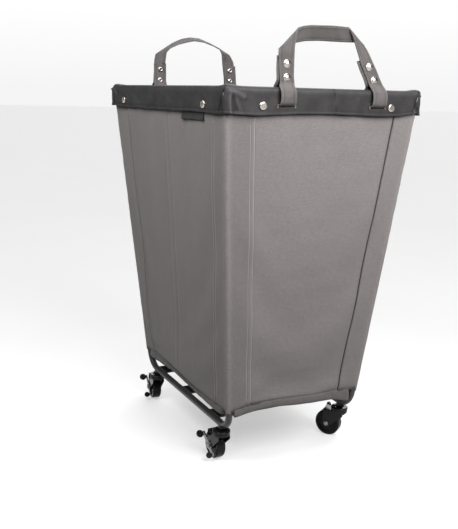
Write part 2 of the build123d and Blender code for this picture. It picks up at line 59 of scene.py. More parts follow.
CLOTH_OUT = 0.0078                          # leg centre line to the outside of the canvas
CANVAS = 0.0012
VINYL = 0.0016
WEBBING = 0.0020
HANDLE_X = 0.261
STRAP_WIDTH = 0.029
INSIDE, OUTSIDE = -0.0024, 0.0010           # a strap's two layers, outward from the handle's plane
BAND_LOW = 0.641                            # lower edge of the band, before it waves
HIGH, LOW = 0.640, 0.110                    # heights where the seam lines are given
FLOOR_Z = 0.1016
THREAD = 0.0034                             # stitch spacing


def leg(z):
    """Half distances between the legs along X and Y at height z."""
    t = (np.asarray(z, float) - SEAM.z) / (RAIL.z - SEAM.z)
    return SEAM.x + (RAIL.x - SEAM.x) * t, SEAM.y + (RAIL.y - SEAM.y) * t


# ---------------------------------------------------------------- mesh tools
def ripple(u, v, size, seed):
    """Smooth uneven waves over u and v, about -1 to 1, with a wavelength near size."""
    pick = np.random.default_rng(seed)
    total = np.zeros(np.broadcast(u, v).shape)
    for _ in range(9):
        turn, phase = pick.uniform(0, 2 * pi, 2)
        reach = size * pick.uniform(0.6, 1.8)
        total += np.sin((u * cos(turn) + v * sin(turn)) * 2 * pi / reach + phase)
    return total / 4.5


def bump(t, centre, width):
    """Bell curve of height 1."""
    return np.exp(-(((t - centre) / width) ** 2))


def new_object(name, vertices, faces):
    """Smooth-shaded mesh object, linked to the scene."""
    mesh = bpy.data.meshes.new(name)
    mesh.from_pydata([tuple(v) for v in vertices], [], faces)
    mesh.update()
    mesh.polygons.foreach_set("use_smooth", [True] * len(faces))
    made = bpy.data.objects.new(name, mesh)
    bpy.context.scene.collection.objects.link(made)
    return made


def lengths(points):
    """Distance of each point along its line, from 0 at the first."""
    return np.concatenate([[0], np.cumsum(np.linalg.norm(np.diff(points, axis=0), axis=1))])


def closed(points):
    """The same points with the first one again at the end."""
    return np.vstack([points, points[:1]])


def spread(across, up):
    """Grid of (across, up) pairs, as rows and columns."""
    return np.stack(np.meshgrid(across, up), -1)


def filled(marks, step):
    """Marks with even places between them, at most step apart in their first value."""
    marks = np.array(marks, float)
    made = [marks[0]]
    for a, b in zip(marks, marks[1:]):
        count = max(1, ceil((b[0] - a[0]) / step))
        made += [a + (b - a) * k / count for k in range(1, count + 1)]
    return np.array(made)


def grid_object(name, points, uv, thick=0.0, offset=-1.0, crease_shade=0.0, wear_and_highlight=0.0, wrap=False, skip=None):
    """Mesh of a grid of points, as rows, columns and XYZ. uv has one column more if it wraps.

    The creases' painted shade and the wear, which on the band is painted highlight, each from 0 to 1, are
    read by the materials. skip marks the cells left open.
    """
    rows, cols = points.shape[:2]
    faces, corners = [], []
    for i in range(rows - 1):
        for j in range(cols if wrap else cols - 1):
            if skip is not None and skip[i, j]:
                continue
            k = (j + 1) % cols
            faces.append((i * cols + j, i * cols + k, (i + 1) * cols + k, (i + 1) * cols + j))
            corners += [uv[i, j], uv[i, j + 1], uv[i + 1, j + 1], uv[i + 1, j]]
    made = new_object(name, points.reshape(-1, 3), faces)
    layer = made.data.uv_layers.new(name="UVMap")
    layer.data.foreach_set("uv", np.array(corners, np.float32).ravel())
    for key, values in (("crease_shade", crease_shade), ("wear_and_highlight", wear_and_highlight)):
        mark = made.data.attributes.new(key, "FLOAT", "POINT")
        mark.data.foreach_set("value", np.broadcast_to(values, (rows, cols)).astype(np.float32).ravel())
    if thick:
        solid = made.modifiers.new("thickness", "SOLIDIFY")
        solid.thickness = thick
        solid.offset = offset
        solid.use_quality_normals = True
    return made


def clean(made):
    """Weld points that coincide, and remove points that no face uses."""
    shape = bmesh.new()
    shape.from_mesh(made.data)
    bmesh.ops.remove_doubles(shape, verts=shape.verts, dist=0.00001)
    bmesh.ops.delete(shape, geom=[v for v in shape.verts if not v.link_faces], context="VERTS")
    shape.to_mesh(made.data)
    shape.free()


# A stitch's points as (share of its length, share of its width, rise in widths): one end, two
# arches and the other end. Its faces are a fan at each end, strips between the arches and a base.
ARCH = ((0.5, 0), (0.3, 0.48), (-0.3, 0.48), (-0.5, 0))
STITCH = [(-0.5, 0, -0.3), *((t, *place) for t in (-0.3, 0.3) for place in ARCH), (0.5, 0, -0.3)]
STITCH_FACES = [face for k in (1, 2, 3)
                for face in ((0, k + 1, k), (k, k + 1, k + 5, k + 4), (k + 4, k + 5, 9))]
STITCH_FACES.append((0, 1, 5, 9, 8, 4))


def stitches(name, runs, length=0.0024, width=0.0008):
    """Small raised stitches along runs of (points, outward normals), merged into one mesh."""
    vertices, faces = [], []
    for line, normals in runs:
        line, normals = np.asarray(line, float), np.asarray(normals, float)
        along = lengths(line)
        for s in np.arange(THREAD / 2, along[-1] - THREAD / 2, THREAD):
            here, ahead, out = (
                np.array([np.interp(t, along, a[:, k]) for k in range(3)])
                for t, a in ((s, line), (s + 0.0005, line), (s, normals))
            )
            way = (ahead - here) / (np.linalg.norm(ahead - here) + 1e-12)
            side = np.cross(way, out)
            faces += [tuple(len(vertices) + i for i in face) for face in STITCH_FACES]
            vertices += [here + way * length * a + (side * b + out * c) * width for a, b, c in STITCH]
    return new_object(name, vertices, faces)


def lathe(profile, place, segments=36):
    """Points and faces of a turned shape: profile is (radius, height) from one pole to the other."""
    vertices, faces = [], []
    for r, h in profile:
        for k in range(segments):
            a = 2 * pi * k / segments
            vertices.append(place @ Vector((r * cos(a), r * sin(a), h)))
    for i in range(len(profile) - 1):
        for k in range(segments):
            n = (k + 1) % segments
            faces.append((i * segments + k, i * segments + n, (i + 1) * segments + n, (i + 1) * segments + k))
    return vertices, faces


def merged(name, parts):
    """One object from several (vertices, faces)."""
    vertices, faces = [], []
    for v, f in parts:
        faces += [tuple(i + len(vertices) for i in face) for face in f]
        vertices += v
    return new_object(name, vertices, faces)


# ---------------------------------------------------------------- material tools
def plug(tree, socket, value):
    """Link a socket from another node's socket, or set it to a value."""
    if isinstance(value, bpy.types.NodeSocket):
        tree.links.new(value, socket)
    else:
        socket.default_value = value


def put(tree, kind, settings=None, **inputs):
    """Add a node. Its inputs are named, or numbered as i0, i1 and so on."""
    made = tree.nodes.new(kind)
    for key, value in (settings or {}).items():
        setattr(made, key, value)
    for key, value in inputs.items():
        plug(tree, made.inputs[int(key[1:]) if key[1:].isdigit() else key.replace("_", " ")], value)
    return made


def calc(tree, operation, *values):
    numbered = {f"i{k}": value for k, value in enumerate(values)}
    return put(tree, "ShaderNodeMath", {"operation": operation}, **numbered).outputs[0]


def mix(tree, factor, a, b):
    """Colour from a to b, each a node's socket or three numbers."""
    a, b = (c if isinstance(c, bpy.types.NodeSocket) else (*c, 1) for c in (a, b))
    return put(tree, "ShaderNodeMix", {"data_type": "RGBA"}, i0=factor, i6=a, i7=b).outputs[2]


def scaled(colour, share):
    return tuple(share * c for c in colour)


def noise(tree, where, scale, detail=4.0, rough=0.55, stretch=None):
    if stretch:
        where = put(tree, "ShaderNodeMapping", i0=where, i3=stretch).outputs[0]
    made = put(tree, "ShaderNodeTexNoise", Vector=where, Scale=scale, Detail=detail, Roughness=rough)
    return made.outputs[0]


def ramp(tree, value, low, high, to_low=0.0, to_high=1.0):
    made = put(tree, "ShaderNodeMapRange", i0=value, i1=low, i2=high, i3=to_low, i4=to_high)
    return made.outputs[0]


def start(name, **shader):
    """New material with constants set on its own shader. Returns (material, tree, shader)."""
    made = bpy.data.materials.new(name)
    made.use_nodes = True
    principled = made.node_tree.nodes["Principled BSDF"]
    for key, value in shader.items():
        principled.inputs[key.replace("_", " ")].default_value = value
    return made, made.node_tree, principled


def finish_material(tree, shader, colour, roughness, height, distance, strength):
    """Link a shader to its colour, roughness and bump."""
    relief = put(tree, "ShaderNodeBump", Strength=strength, Distance=distance, Height=height).outputs[0]
    for key, socket in (("Base Color", colour), ("Roughness", roughness), ("Normal", relief)):
        tree.links.new(socket, shader.inputs[key])


def attribute(tree, name):
    return put(tree, "ShaderNodeAttribute", {"attribute_name": name}).outputs["Fac"]


def woven(name, dark, light, pitch, rib=1.0, sheen=0.25):
    """Plain-weave cloth: crossing yarns, uneven threads, soft stains, painted shade in creases and seams,
    worn edges.
    """
    made, tree, shader = start(name, Sheen_Weight=sheen, Sheen_Roughness=0.5, Specular_IOR_Level=0.25)
    uv = put(tree, "ShaderNodeUVMap", {"uv_map": "UVMap"}).outputs[0]
    parts = put(tree, "ShaderNodeSeparateXYZ", i0=uv).outputs
    waves = [calc(tree, "SINE", calc(tree, "MULTIPLY", parts[k], 2 * pi / step))
             for k, step in ((0, pitch), (1, pitch * rib))]
    cross = calc(tree, "MULTIPLY", *waves)
    weave = calc(tree, "MULTIPLY_ADD", cross, 0.5, 0.5)
    threads = [noise(tree, uv, 1.0, 3.0, 0.6, stretch) for stretch in ((1100, 60, 1), (60, 1100, 1))]
    yarns = calc(tree, "ADD", *threads)
    slubs = ramp(tree, yarns, 0.55, 1.45)
    cloudy = ramp(tree, noise(tree, uv, 9.0, 5.0), 0.35, 0.65)
    turned = put(tree, "ShaderNodeMapping", i0=uv, i2=(0, 0, radians(-28))).outputs[0]
    grain = ramp(tree, noise(tree, turned, 1.0, 2.0, 0.5, (120, 560, 1)), 0.36, 0.64)
    tone = mix(tree, slubs, dark, light)
    for mask, amount, shade in ((grain, 0.34, 0.6), (weave, 0.28, 0.62), (cloudy, 0.16, 0.75)):
        tone = mix(tree, calc(tree, "MULTIPLY", mask, amount), tone, scaled(dark, shade))
    wear_and_highlight = calc(tree, "MULTIPLY", attribute(tree, "wear_and_highlight"), ramp(tree, slubs, 0.3, 0.8, 0.2, 0.6))
    tone = mix(tree, wear_and_highlight, tone, scaled(light, 1.45))
    # Painted shade: creases, seams and grooves are drawn darker.
    tone = mix(tree, attribute(tree, "crease_shade"), tone, scaled(dark, 0.2))
    rough = ramp(tree, yarns, 0.7, 1.3, 0.92, 0.78)
    height = calc(tree, "ADD", cross, calc(tree, "MULTIPLY", slubs, 0.7))
    finish_material(tree, shader, tone, rough, height, 0.00022, 0.55)
    return made


def coated(name, dark, light, rough, grain, coat=0.0, metal=0.0, wear=None, shine=0.4, relief=0.35):
    """Paint, thread, moulded plastic or plate: fine grain, patchy gloss and a little wear."""
    made, tree, shader = start(name, Coat_Weight=coat, Coat_Roughness=0.2, Metallic=metal,
                               Specular_IOR_Level=shine)
    where = put(tree, "ShaderNodeTexCoord").outputs["Object"]
    fine = noise(tree, where, grain, 2.0)
    broad = noise(tree, where, 22.0, 6.0, 0.62)
    tone = mix(tree, ramp(tree, broad, 0.35, 0.68), dark, light)
    tone = mix(tree, ramp(tree, fine, 0.45, 0.75, 0.0, 0.35), tone, light)
    if wear:
        scuffs = ramp(tree, noise(tree, where, 140.0, 8.0, 0.75), 0.64, 0.72, 0.0, 0.7)
        tone = mix(tree, scuffs, tone, wear)
    roughness = ramp(tree, calc(tree, "ADD", broad, fine), 0.7, 1.3, *rough)
    finish_material(tree, shader, tone, roughness, fine, 0.00012, relief)
    return made


def thread_material(name, dark, light, rough=(0.6, 0.8)):
    return coated(name, dark, light, rough, 2600.0)


def vinyl_material(name, dark, light):
    """Coated cloth of the rim band: pebbled grain, painted shade in its folds, seam and lap, painted
    highlights on its fold ridges and rail roll.
    """
    made, tree, shader = start(name, Coat_Weight=0.03, Coat_Roughness=0.3, Specular_IOR_Level=0.16)
    where = put(tree, "ShaderNodeTexCoord").outputs["Object"]
    cells = put(tree, "ShaderNodeTexVoronoi", {"feature": "SMOOTH_F1"}, Vector=where, Scale=620.0)
    pebble = cells.outputs["Distance"]
    broad = noise(tree, where, 30.0, 5.0)
    tone = mix(tree, ramp(tree, broad, 0.35, 0.65), dark, light)
    tone = mix(tree, ramp(tree, pebble, 0.1, 0.7, 0.0, 0.35), tone, scaled(dark, 0.6))
    # Painted highlights on the fold ridges and along the roll over the rails.
    painted_highlight = calc(tree, "MULTIPLY", attribute(tree, "wear_and_highlight"), 0.7)
    tone = mix(tree, painted_highlight, tone, scaled(light, 2.1))
    # Painted shade in the folds, along the lower seam, at the lap and beside the slits.
    tone = mix(tree, attribute(tree, "crease_shade"), tone, scaled(dark, 0.3))
    roughness = ramp(tree, calc(tree, "ADD", broad, pebble), 0.5, 1.3, 0.44, 0.58)
    height = calc(tree, "ADD", calc(tree, "MULTIPLY", pebble, -0.6), calc(tree, "MULTIPLY", broad, 0.8))
    finish_material(tree, shader, tone, roughness, height, 0.0003, 0.45)
    return made


# Each finish has a dark and a light tone. Cloth adds its yarn spacing, and the rest their range of
# roughness and scale of grain.
MATERIALS = {
    "canvas": woven("canvas", (0.218, 0.196, 0.194), (0.300, 0.272, 0.269), 0.0013),
    "hem": woven("hem_cloth", (0.125, 0.112, 0.110), (0.195, 0.176, 0.173), 0.0012),
    "webbing": woven("webbing_cloth", (0.112, 0.101, 0.100), (0.177, 0.161, 0.159), 0.0017, 0.5, 0.10),
    "label": woven("label_weave", (0.022, 0.022, 0.024), (0.046, 0.045, 0.048), 0.0006, 1.0, 0.1),
    "thread": thread_material("sewing_thread", (0.44, 0.42, 0.415), (0.62, 0.60, 0.59)),
    "thread_dark": thread_material("band_thread", (0.05, 0.048, 0.048), (0.10, 0.096, 0.096), (0.55, 0.75)),
    "thread_web": thread_material("strap_thread", (0.20, 0.19, 0.187), (0.30, 0.285, 0.28)),
    "tack": thread_material("bar_tack", (0.20, 0.16, 0.12), (0.32, 0.27, 0.21)),
    "vinyl": vinyl_material("band_vinyl", (0.031, 0.029, 0.030), (0.047, 0.045, 0.046)),
    "nickel": coated("polished_nickel", (0.46, 0.42, 0.38), (0.62, 0.58, 0.54), (0.20, 0.32), 900.0,
                     metal=1.0, wear=(0.30, 0.26, 0.22), relief=0.06),
    "frame": coated("satin_charcoal_paint", (0.034, 0.033, 0.034), (0.053, 0.051, 0.052), (0.32, 0.46),
                    1300.0, coat=0.10, wear=(0.11, 0.105, 0.10), shine=0.3),
    "slat": coated("black_slat_paint", (0.016, 0.016, 0.017), (0.028, 0.028, 0.029), (0.4, 0.55),
                   1300.0, coat=0.1, wear=(0.07, 0.068, 0.066)),
    "moulded": coated("moulded_nylon", (0.014, 0.014, 0.014), (0.026, 0.026, 0.026), (0.42, 0.6), 1900.0),
    "gloss": coated("gloss_black_paint", (0.006, 0.006, 0.007), (0.013, 0.013, 0.014), (0.06, 0.16),
                    1100.0, coat=0.10, wear=(0.04, 0.038, 0.036), shine=0.16),
    "wheel": coated("moulded_wheel", (0.008, 0.008, 0.009), (0.016, 0.016, 0.017), (0.20, 0.34),
                    1500.0, coat=0.05, wear=(0.03, 0.029, 0.028), shine=0.08),
    "zinc": coated("zinc_plate", (0.15, 0.155, 0.165), (0.28, 0.285, 0.30), (0.22, 0.38), 700.0,
                   metal=1.0, wear=(0.16, 0.16, 0.17)),
}


def dress(made, finish, slot, *stands_for, body="frame_and_bag"):
    """Give a finished piece its material and body, and hide the nodes it stands for. Its slot is not used."""
    made.data.materials.clear()
    made.data.materials.append(MATERIALS[finish])
    if body:
        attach(made, body)
    if stands_for:
        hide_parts(*stands_for)
    return made


# ---------------------------------------------------------------- canvas walls
# Profiles of a seam as (offset across it, lift of the cloth, painted shade in its groove from 0 to 1).
LAPPED = [(-0.006, 0, 0), (-0.0020, 0.0004, 0.2), (-0.0011, -0.0012, 1.0), (0, -0.0020, 1.0),
          (0.0009, -0.0006, 1.0), (0.0016, 0.0010, 0.1), (0.006, 0.0008, 0), (0.012, 0, 0)]
TAPE_IN = [(-0.0028, 0, 0), (-0.0010, -0.0001, 0.10), (0, -0.0007, 0.32), (0.0010, 0.0001, 0.10),
           (0.0022, 0.0004, 0)]
TAPE_OUT = [(-o, lift, crease_shade) for o, lift, crease_shade in reversed(TAPE_IN)]
# Seams of a wall as (profile, place at HIGH, place at LOW).
FRONT_SEAMS = [(LAPPED, -0.1807, -0.1465), (TAPE_IN, 0.0095, -0.0190), (TAPE_OUT, 0.0302, 0.0010),
               (TAPE_IN, 0.2138, 0.1480), (TAPE_OUT, 0.2210, 0.1560)]
SIDE_SEAMS = [(TAPE_IN, -0.1475, -0.1040), (TAPE_OUT, -0.1405, -0.0950), (LAPPED, 0.1420, 0.0925)]
# Height of the groove over the hem, and of the hem's lower edge, along each wall.
FRONT_HEM = [(-0.175, 0.112, 0.096), (-0.137, 0.117, 0.099), (-0.045, 0.112, 0.105), (0.040, 0.107, 0.101),
             (0.098, 0.106, 0.097), (0.149, 0.108, 0.096), (0.175, 0.111, 0.098)]
SIDE_HEM = [(-0.128, 0.111, 0.098), (-0.093, 0.119, 0.103), (-0.054, 0.119, 0.106), (0.000, 0.116, 0.101),
            (0.045, 0.113, 0.099), (0.085, 0.116, 0.098), (0.122, 0.113, 0.088)]
# Past its outermost tape, a wall's strip is drawn a little darker: (darkness, place at HIGH, direction).
DOUBLED = ((0.05, 0.2210, -1), (0.16, -0.1470, 1))
WALL_TOP = 0.6735
WALL_ROWS = 88
CORNER_LOW = 0.1065                         # lower edge of the canvas round each leg
LAP_SEWN = 0.0042                           # from a lap's edge to its stitches


def slant(at_high, at_low, z):
    """Place at height z of a line given at HIGH and LOW."""
    return at_low + (at_high - at_low) * ((z - LOW) / (HIGH - LOW))


def on_wall(facing, along, z, out):
    """Points of the front wall, or of the right one if facing is 1, at distance out from its plane."""
    lx, ly = leg(z)
    points = (along, -(ly + CLOTH_OUT + out), z), (lx + CLOTH_OUT + out, along, z)
    return np.stack(points[facing], -1)


def wall_columns(seams, half_high, half_low):
    """Columns from corner to corner, as (place at HIGH, place at LOW, lift, painted seam shade)."""
    marks = [(-half_high, -half_low, 0, 0)]
    for profile, high, low in seams:
        marks += [(high + o, low + o, lift, crease_shade) for o, lift, crease_shade in profile]
    return filled([*marks, (half_high, half_low, 0, 0)], 0.0085)


def settle(width_high, width_low, height, seed, columns=30, rows=36):
    """Cloth simulation of one wall, held along its edges: how far it stands out, rows by columns."""
    v, u = np.meshgrid(np.linspace(0, 1, rows), np.linspace(-1, 1, columns), indexing="ij")
    half = width_low + (width_high - width_low) * v
    rise = ripple(u * half, v * height, 0.16, seed) * 0.0012 * (1 - u**2) * np.sin(pi * v) ** 0.5
    points = np.stack([u * half, rise, v * height], -1)
    made = grid_object("settling", points, np.zeros((rows, columns, 2)))
    edge = (np.abs(u) > 0.999) | (v > 0.999) | (v < 0.001)
    group = made.vertex_groups.new(name="held")
    group.add([int(i) for i in np.flatnonzero(edge.ravel())], 1.0, "REPLACE")
    settings = dict(quality=6, mass=0.35, tension_stiffness=60, compression_stiffness=60,
                    shear_stiffness=20, bending_stiffness=4, vertex_group_mass="held", shrink_min=-0.0011)
    cloth = made.modifiers.new("cloth", "CLOTH")
    for key, value in settings.items():
        setattr(cloth.settings, key, value)
    scene = bpy.context.scene
    for number in range(1, 22):
        scene.frame_set(number)
    shown = made.evaluated_get(bpy.context.evaluated_depsgraph_get())
    moved = np.array([w.co.y for w in shown.data.vertices]).reshape(rows, columns)
    bpy.data.objects.remove(made)
    scene.frame_set(1)
    most = 0.0045
    return -np.clip(moved, -most, most)


def sample(field, u, v):
    """Smooth reading of a simulated field at fractions u and v."""
    rows, columns = field.shape
    x, y = np.clip(u, 0, 1) * (columns - 1), np.clip(v, 0, 1) * (rows - 1)
    i, j = np.minimum(y.astype(int), rows - 2), np.minimum(x.astype(int), columns - 2)
    p, q = y - i, x - j
    p, q = p * p * (3 - 2 * p), q * q * (3 - 2 * q)
    low = field[i, j] * (1 - q) + field[i, j + 1] * q
    high = field[i + 1, j] * (1 - q) + field[i + 1, j + 1] * q
    return low * (1 - p) + high * p


def wall_section(columns, facing, hem, field, rows):
    """Points, creases and wear of the front wall, or of the right one if facing is 1."""
    at_high, at_low, lift, crease_shade = columns.T
    places, tops, _ = zip(*hem)
    hem_top = np.interp(at_low, places, tops)
    foot = hem_top - 0.002
    v = rows[:, None]
    z = foot + (WALL_TOP - foot) * v
    along = slant(at_high, at_low, z)
    reach = (at_high - at_high[0]) / (at_high[-1] - at_high[0])
    inside = np.sin(pi * reach) ** 0.35
    wave = sample(field, *np.broadcast_arrays(reach, v)) * inside
    wave = wave + ripple(along, z, 0.055, 5 + facing) * 0.00045 * inside
    groove = -0.0022 * bump(z, hem_top, 0.004)
    shade, place, way = DOUBLED[facing]
    strip = shade / (1 + np.exp((at_high - place) * way / 0.0006))
    # Painted shade in the seams' grooves and in the groove over the hem, plus the darker strip past the
    # outermost tape.
    dark = np.clip(crease_shade + strip + 0.9 * bump(z, hem_top, 0.0028), 0, 1)
    wear_and_highlight = 0.5 * bump(reach, 0, 0.01) + 0.5 * bump(reach, 1, 0.01)
    return on_wall(facing, along, z, lift + wave + groove), dark, wear_and_highlight


def corner_section(facing, rows, turns=7):
    """The canvas round the leg at a wall's right end: a quarter turn, without its end columns."""
    z = CORNER_LOW + (WALL_TOP - CORNER_LOW) * rows[:, None]
    back = radians(90) * (np.arange(1, turns) / turns)[None, :] - radians(90)
    radius = CLOTH_OUT + 0.0004 * ripple(back * 0.01, z, 0.05, 40)
    angle = back + facing * radians(90)
    lx, ly = leg(z)
    x, y = lx + radius * np.cos(angle), (-1, 1)[facing] * ly + radius * np.sin(angle)
    return np.stack(np.broadcast_arrays(x, y, z), -1), 0.0, 0.45


def half_turn(points):
    """The same points turned by 180 degrees about Z."""
    return points * np.array([-1, -1, 1])


def make_bag():
    """The four walls and the leg sleeves as one sheet of canvas. Returns it and its flat size."""
    rows = np.concatenate([[0, 0.004, 0.008, 0.013], np.linspace(0.02, 1, WALL_ROWS)])
    high, low = leg(HIGH), leg(LOW)
    walls = [(wall_columns(seams, high[k], low[k]), k, hem)
             for k, (seams, hem) in enumerate(((FRONT_SEAMS, FRONT_HEM), (SIDE_SEAMS, SIDE_HEM)))]
    height = hypot(WALL_TOP - LOW, 0.06)
    fields = [settle(high[k % 2], low[k % 2], height, 3 + k) for k in range(4)]
    sections = []
    for k, field in enumerate(fields):
        columns, facing, hem = walls[k % 2]
        for points, *marks in (wall_section(columns, facing, hem, field, rows), corner_section(facing, rows)):
            marks = [np.broadcast_to(mark, points.shape[:2]) for mark in marks]
            sections.append((half_turn(points) if k > 1 else points, *marks))
    points, crease_shade, wear_and_highlight = (np.concatenate(parts, 1) for parts in zip(*sections))
    uv = spread(lengths(closed(points[len(rows) // 2])), rows * (WALL_TOP - LOW))
    bag = grid_object("canvas_walls", points, uv, CANVAS, crease_shade=crease_shade, wear_and_highlight=wear_and_highlight, wrap=True)
    dress(bag, "canvas", "canvas", "front_wall", "rear_wall", "left_wall", "right_wall", "corner_wraps")
    laps = 8 * 0.002
    return bag, (2 * (high[0] + high[1] + low[0] + low[1]) + laps, height)


canvas_bag, bag_flat = make_bag()


def seam_run(facing, high, low, half):
    """One line of stitching down a wall, from the band to the hem, and its normals."""
    z = np.linspace(0.650, 0.124, 90)
    line = on_wall(facing, slant(high, low, z), z, 0.0006)
    normal = np.array(((0, -1.0, 0), (1.0, 0, 0))[facing])
    if half:
        line, normal = half_turn(line), half_turn(normal)
    return line, np.broadcast_to(normal, line.shape)


def onto(runs, target_name):
    """Drop stitch lines onto the mesh they sew, along their normals."""
    shown = bpy.data.objects[target_name].evaluated_get(bpy.context.evaluated_depsgraph_get())
    placed = []
    for line, normals in runs:
        moved = []
        for point, normal in zip(line, normals):
            ray_from = Vector(point) + Vector(normal) * 0.012
            hit, where, _, _ = shown.ray_cast(ray_from, -Vector(normal), distance=0.03)
            moved.append(tuple(where) if hit else tuple(point))
        placed.append((np.array(moved), normals))
    return placed


def bag_stitches():
    """Rows of thread down every seam of the four walls: pale on the tapes, darker on the laps."""
    pale, dark = [], []
    for half in (0, 1):
        for facing, seams in enumerate((FRONT_SEAMS, SIDE_SEAMS)):
            for profile, high, low in seams:
                lapped = profile is LAPPED
                shift = LAP_SEWN if lapped else 0.0
                (dark if lapped else pale).append(seam_run(facing, high + shift, low + shift, half))
    kinds = (("canvas_stitches", pale, "thread"), ("lap_stitches", dark, "thread_web"))
    return [dress(stitches(name, onto(runs, "canvas_walls"), 0.0026, 0.0013), finish, "canvas")
            for name, runs, finish in kinds]


bag_thread = bag_stitches()


# ---------------------------------------------------------------- hem, floor, divider, pockets
def smooth_path(points, spacing, sigma, wrap=False):
    """Even points along straight runs, rounded off by averaging neighbours."""
    points = closed(points) if wrap else np.array(points, float)
    along = lengths(points)
    s = np.linspace(0, along[-1], max(4, int(round(along[-1] / spacing))) + 1)
    path = np.stack([np.interp(s, along, points[:, k]) for k in range(points.shape[1])], -1)
    reach = int(3 * sigma)
    weights = np.exp(-0.5 * (np.arange(-reach, reach + 1) / sigma) ** 2)
    weights /= weights.sum()
    if wrap:
        return sum(w * np.roll(path[:-1], k - reach, 0) for k, w in enumerate(weights))
    ends = np.vstack([path[:1] * 2 - path[reach:0:-1], path, path[-1:] * 2 - path[-2:-reach - 2:-1]])
    return sum(w * ends[k:k + len(path)] for k, w in enumerate(weights))


def hem_route():
    """Closed line of the hem: along each wall and inside each leg, with its top and low heights."""
    x, y = SEAM.x, SEAM.y
    inner, outer = 0.0105, 0.0052           # how far inside and outside the legs' centres it runs
    beside, level = 0.0125, 0.0005          # where it bends beside a leg
    half = [(u, -(y + outer), *h) for u, *h in FRONT_HEM]
    half += [(x - beside, -(y + level), 0.112, 0.099), (x - inner, -(y - inner), 0.112, 0.099),
             (x + level, -(y - beside), 0.112, 0.098)]
    half += [(x + outer, v, *h) for v, *h in SIDE_HEM]
    half += [(x + level, y - beside, 0.112, 0.09), (x - inner, y - inner, 0.112, 0.094),
             (x - beside, y + level, 0.112, 0.095)]
    return np.vstack([half, np.array(half) * np.array([-1, -1, 1, 1])])


def rounded(value):
    """A sine or cosine pushed outwards, for an oval with flatter sides."""
    return np.sign(value) * abs(value) ** 0.8


def make_hem():
    """Puffy binding round the bag's lower edge, passing inside the legs."""
    spacing = 0.0032
    route = smooth_path(hem_route(), spacing, 1.3, wrap=True)
    plan, top, low = route[:, :2], route[:, 2] + 0.0012, route[:, 3]
    ahead = np.roll(plan, -1, 0) - np.roll(plan, 1, 0)
    ahead /= np.linalg.norm(ahead, axis=1)[:, None]
    out = np.stack([ahead[:, 1], -ahead[:, 0]], -1)
    s = lengths(plan)
    half, middle = (top - low) / 2, (top + low) / 2
    puff = 0.0026 + 0.0006 * ripple(s, 0, 0.03, 60)
    sway = 0.0008 * ripple(s, 0, 0.07, 61)
    angles = np.linspace(0, 2 * pi, 15)[:-1]
    rows = []
    for a in angles:
        side = puff * rounded(cos(a)) + sway + 0.0005 * ripple(s, a * 0.004, 0.018, 62)
        rows.append(np.column_stack([plan + out * side[:, None], middle + half * rounded(sin(a))]))
    uv = spread(np.append(s, s[-1] + spacing), np.linspace(0, 0.036, len(angles) + 1))
    wear_and_highlight = 0.6 * bump(np.sin(np.append(angles, 0))[:, None], -1, 0.5)
    hem = grid_object("hem_binding", closed(np.array(rows)), uv, wear_and_highlight=wear_and_highlight, wrap=True)
    clean(hem)
    dress(hem, "hem", "canvas", "bottom_hem")
    line = np.column_stack([plan + out * 0.003, low + 0.004])
    normals = np.column_stack([out, 0 * s])
    thread = stitches("hem_stitches", onto([(line, normals)], "hem_binding"))
    return [hem, dress(thread, "thread_dark", "canvas")]


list(make_hem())


def make_floor():
    """The bag's floor with its turned-up edges, sagging a little, open at each leg."""
    flat_x, flat_y, rise, slack = 0.172, 0.119, 0.0085, 0.0005
    half = Vector((SEAM.x + 0.0045, SEAM.y + 0.0045))
    gx, gy = np.meshgrid(*(
        np.concatenate([[-h, -h + 0.006, -f - 0.008], np.linspace(-f, f, count), [f + 0.008, h - 0.006, h]])
        for h, f, count in ((half.x, flat_x, 65), (half.y, flat_y, 47))
    ))
    ax, ay = np.abs(gx), np.abs(gy)
    edge = np.maximum(ax - flat_x, 0) / (half.x - flat_x)
    edge = np.maximum(edge, np.maximum(ay - flat_y, 0) / (half.y - flat_y))
    flat = (1 - (gx / flat_x) ** 4).clip(0) * (1 - (gy / flat_y) ** 4).clip(0)
    sag = flat * (0.0012 * ripple(gx, gy, 0.12, 70) - 0.0022 * (1 - bump(gx, 0, 0.012)))
    z = FLOOR_Z + rise * edge**1.3 + sag
    # Painted shade: a dark line down the middle where the divider meets the floor, and a darker band where
    # the edges turn up.
    crease_shade = 0.8 * bump(gx, 0.0, 0.0015) + 0.35 * bump(edge, 0.15, 0.12)
    past = (ax > flat_x + slack) & (ay > flat_y + slack)
    skip = past[1:, 1:] | past[:-1, 1:] | past[1:, :-1]
    skip |= (ax[:-1, :-1] > flat_x - slack) & (ay[:-1, :-1] > flat_y - slack)
    cloth = grid_object("bag_floor_cloth", np.stack([gx, gy, z], -1), np.stack([gx, gy], -1), CANVAS, 1.0,
                        crease_shade, skip=skip)
    clean(cloth)
    dress(cloth, "canvas", "canvas", "bottom_panel")


make_floor()


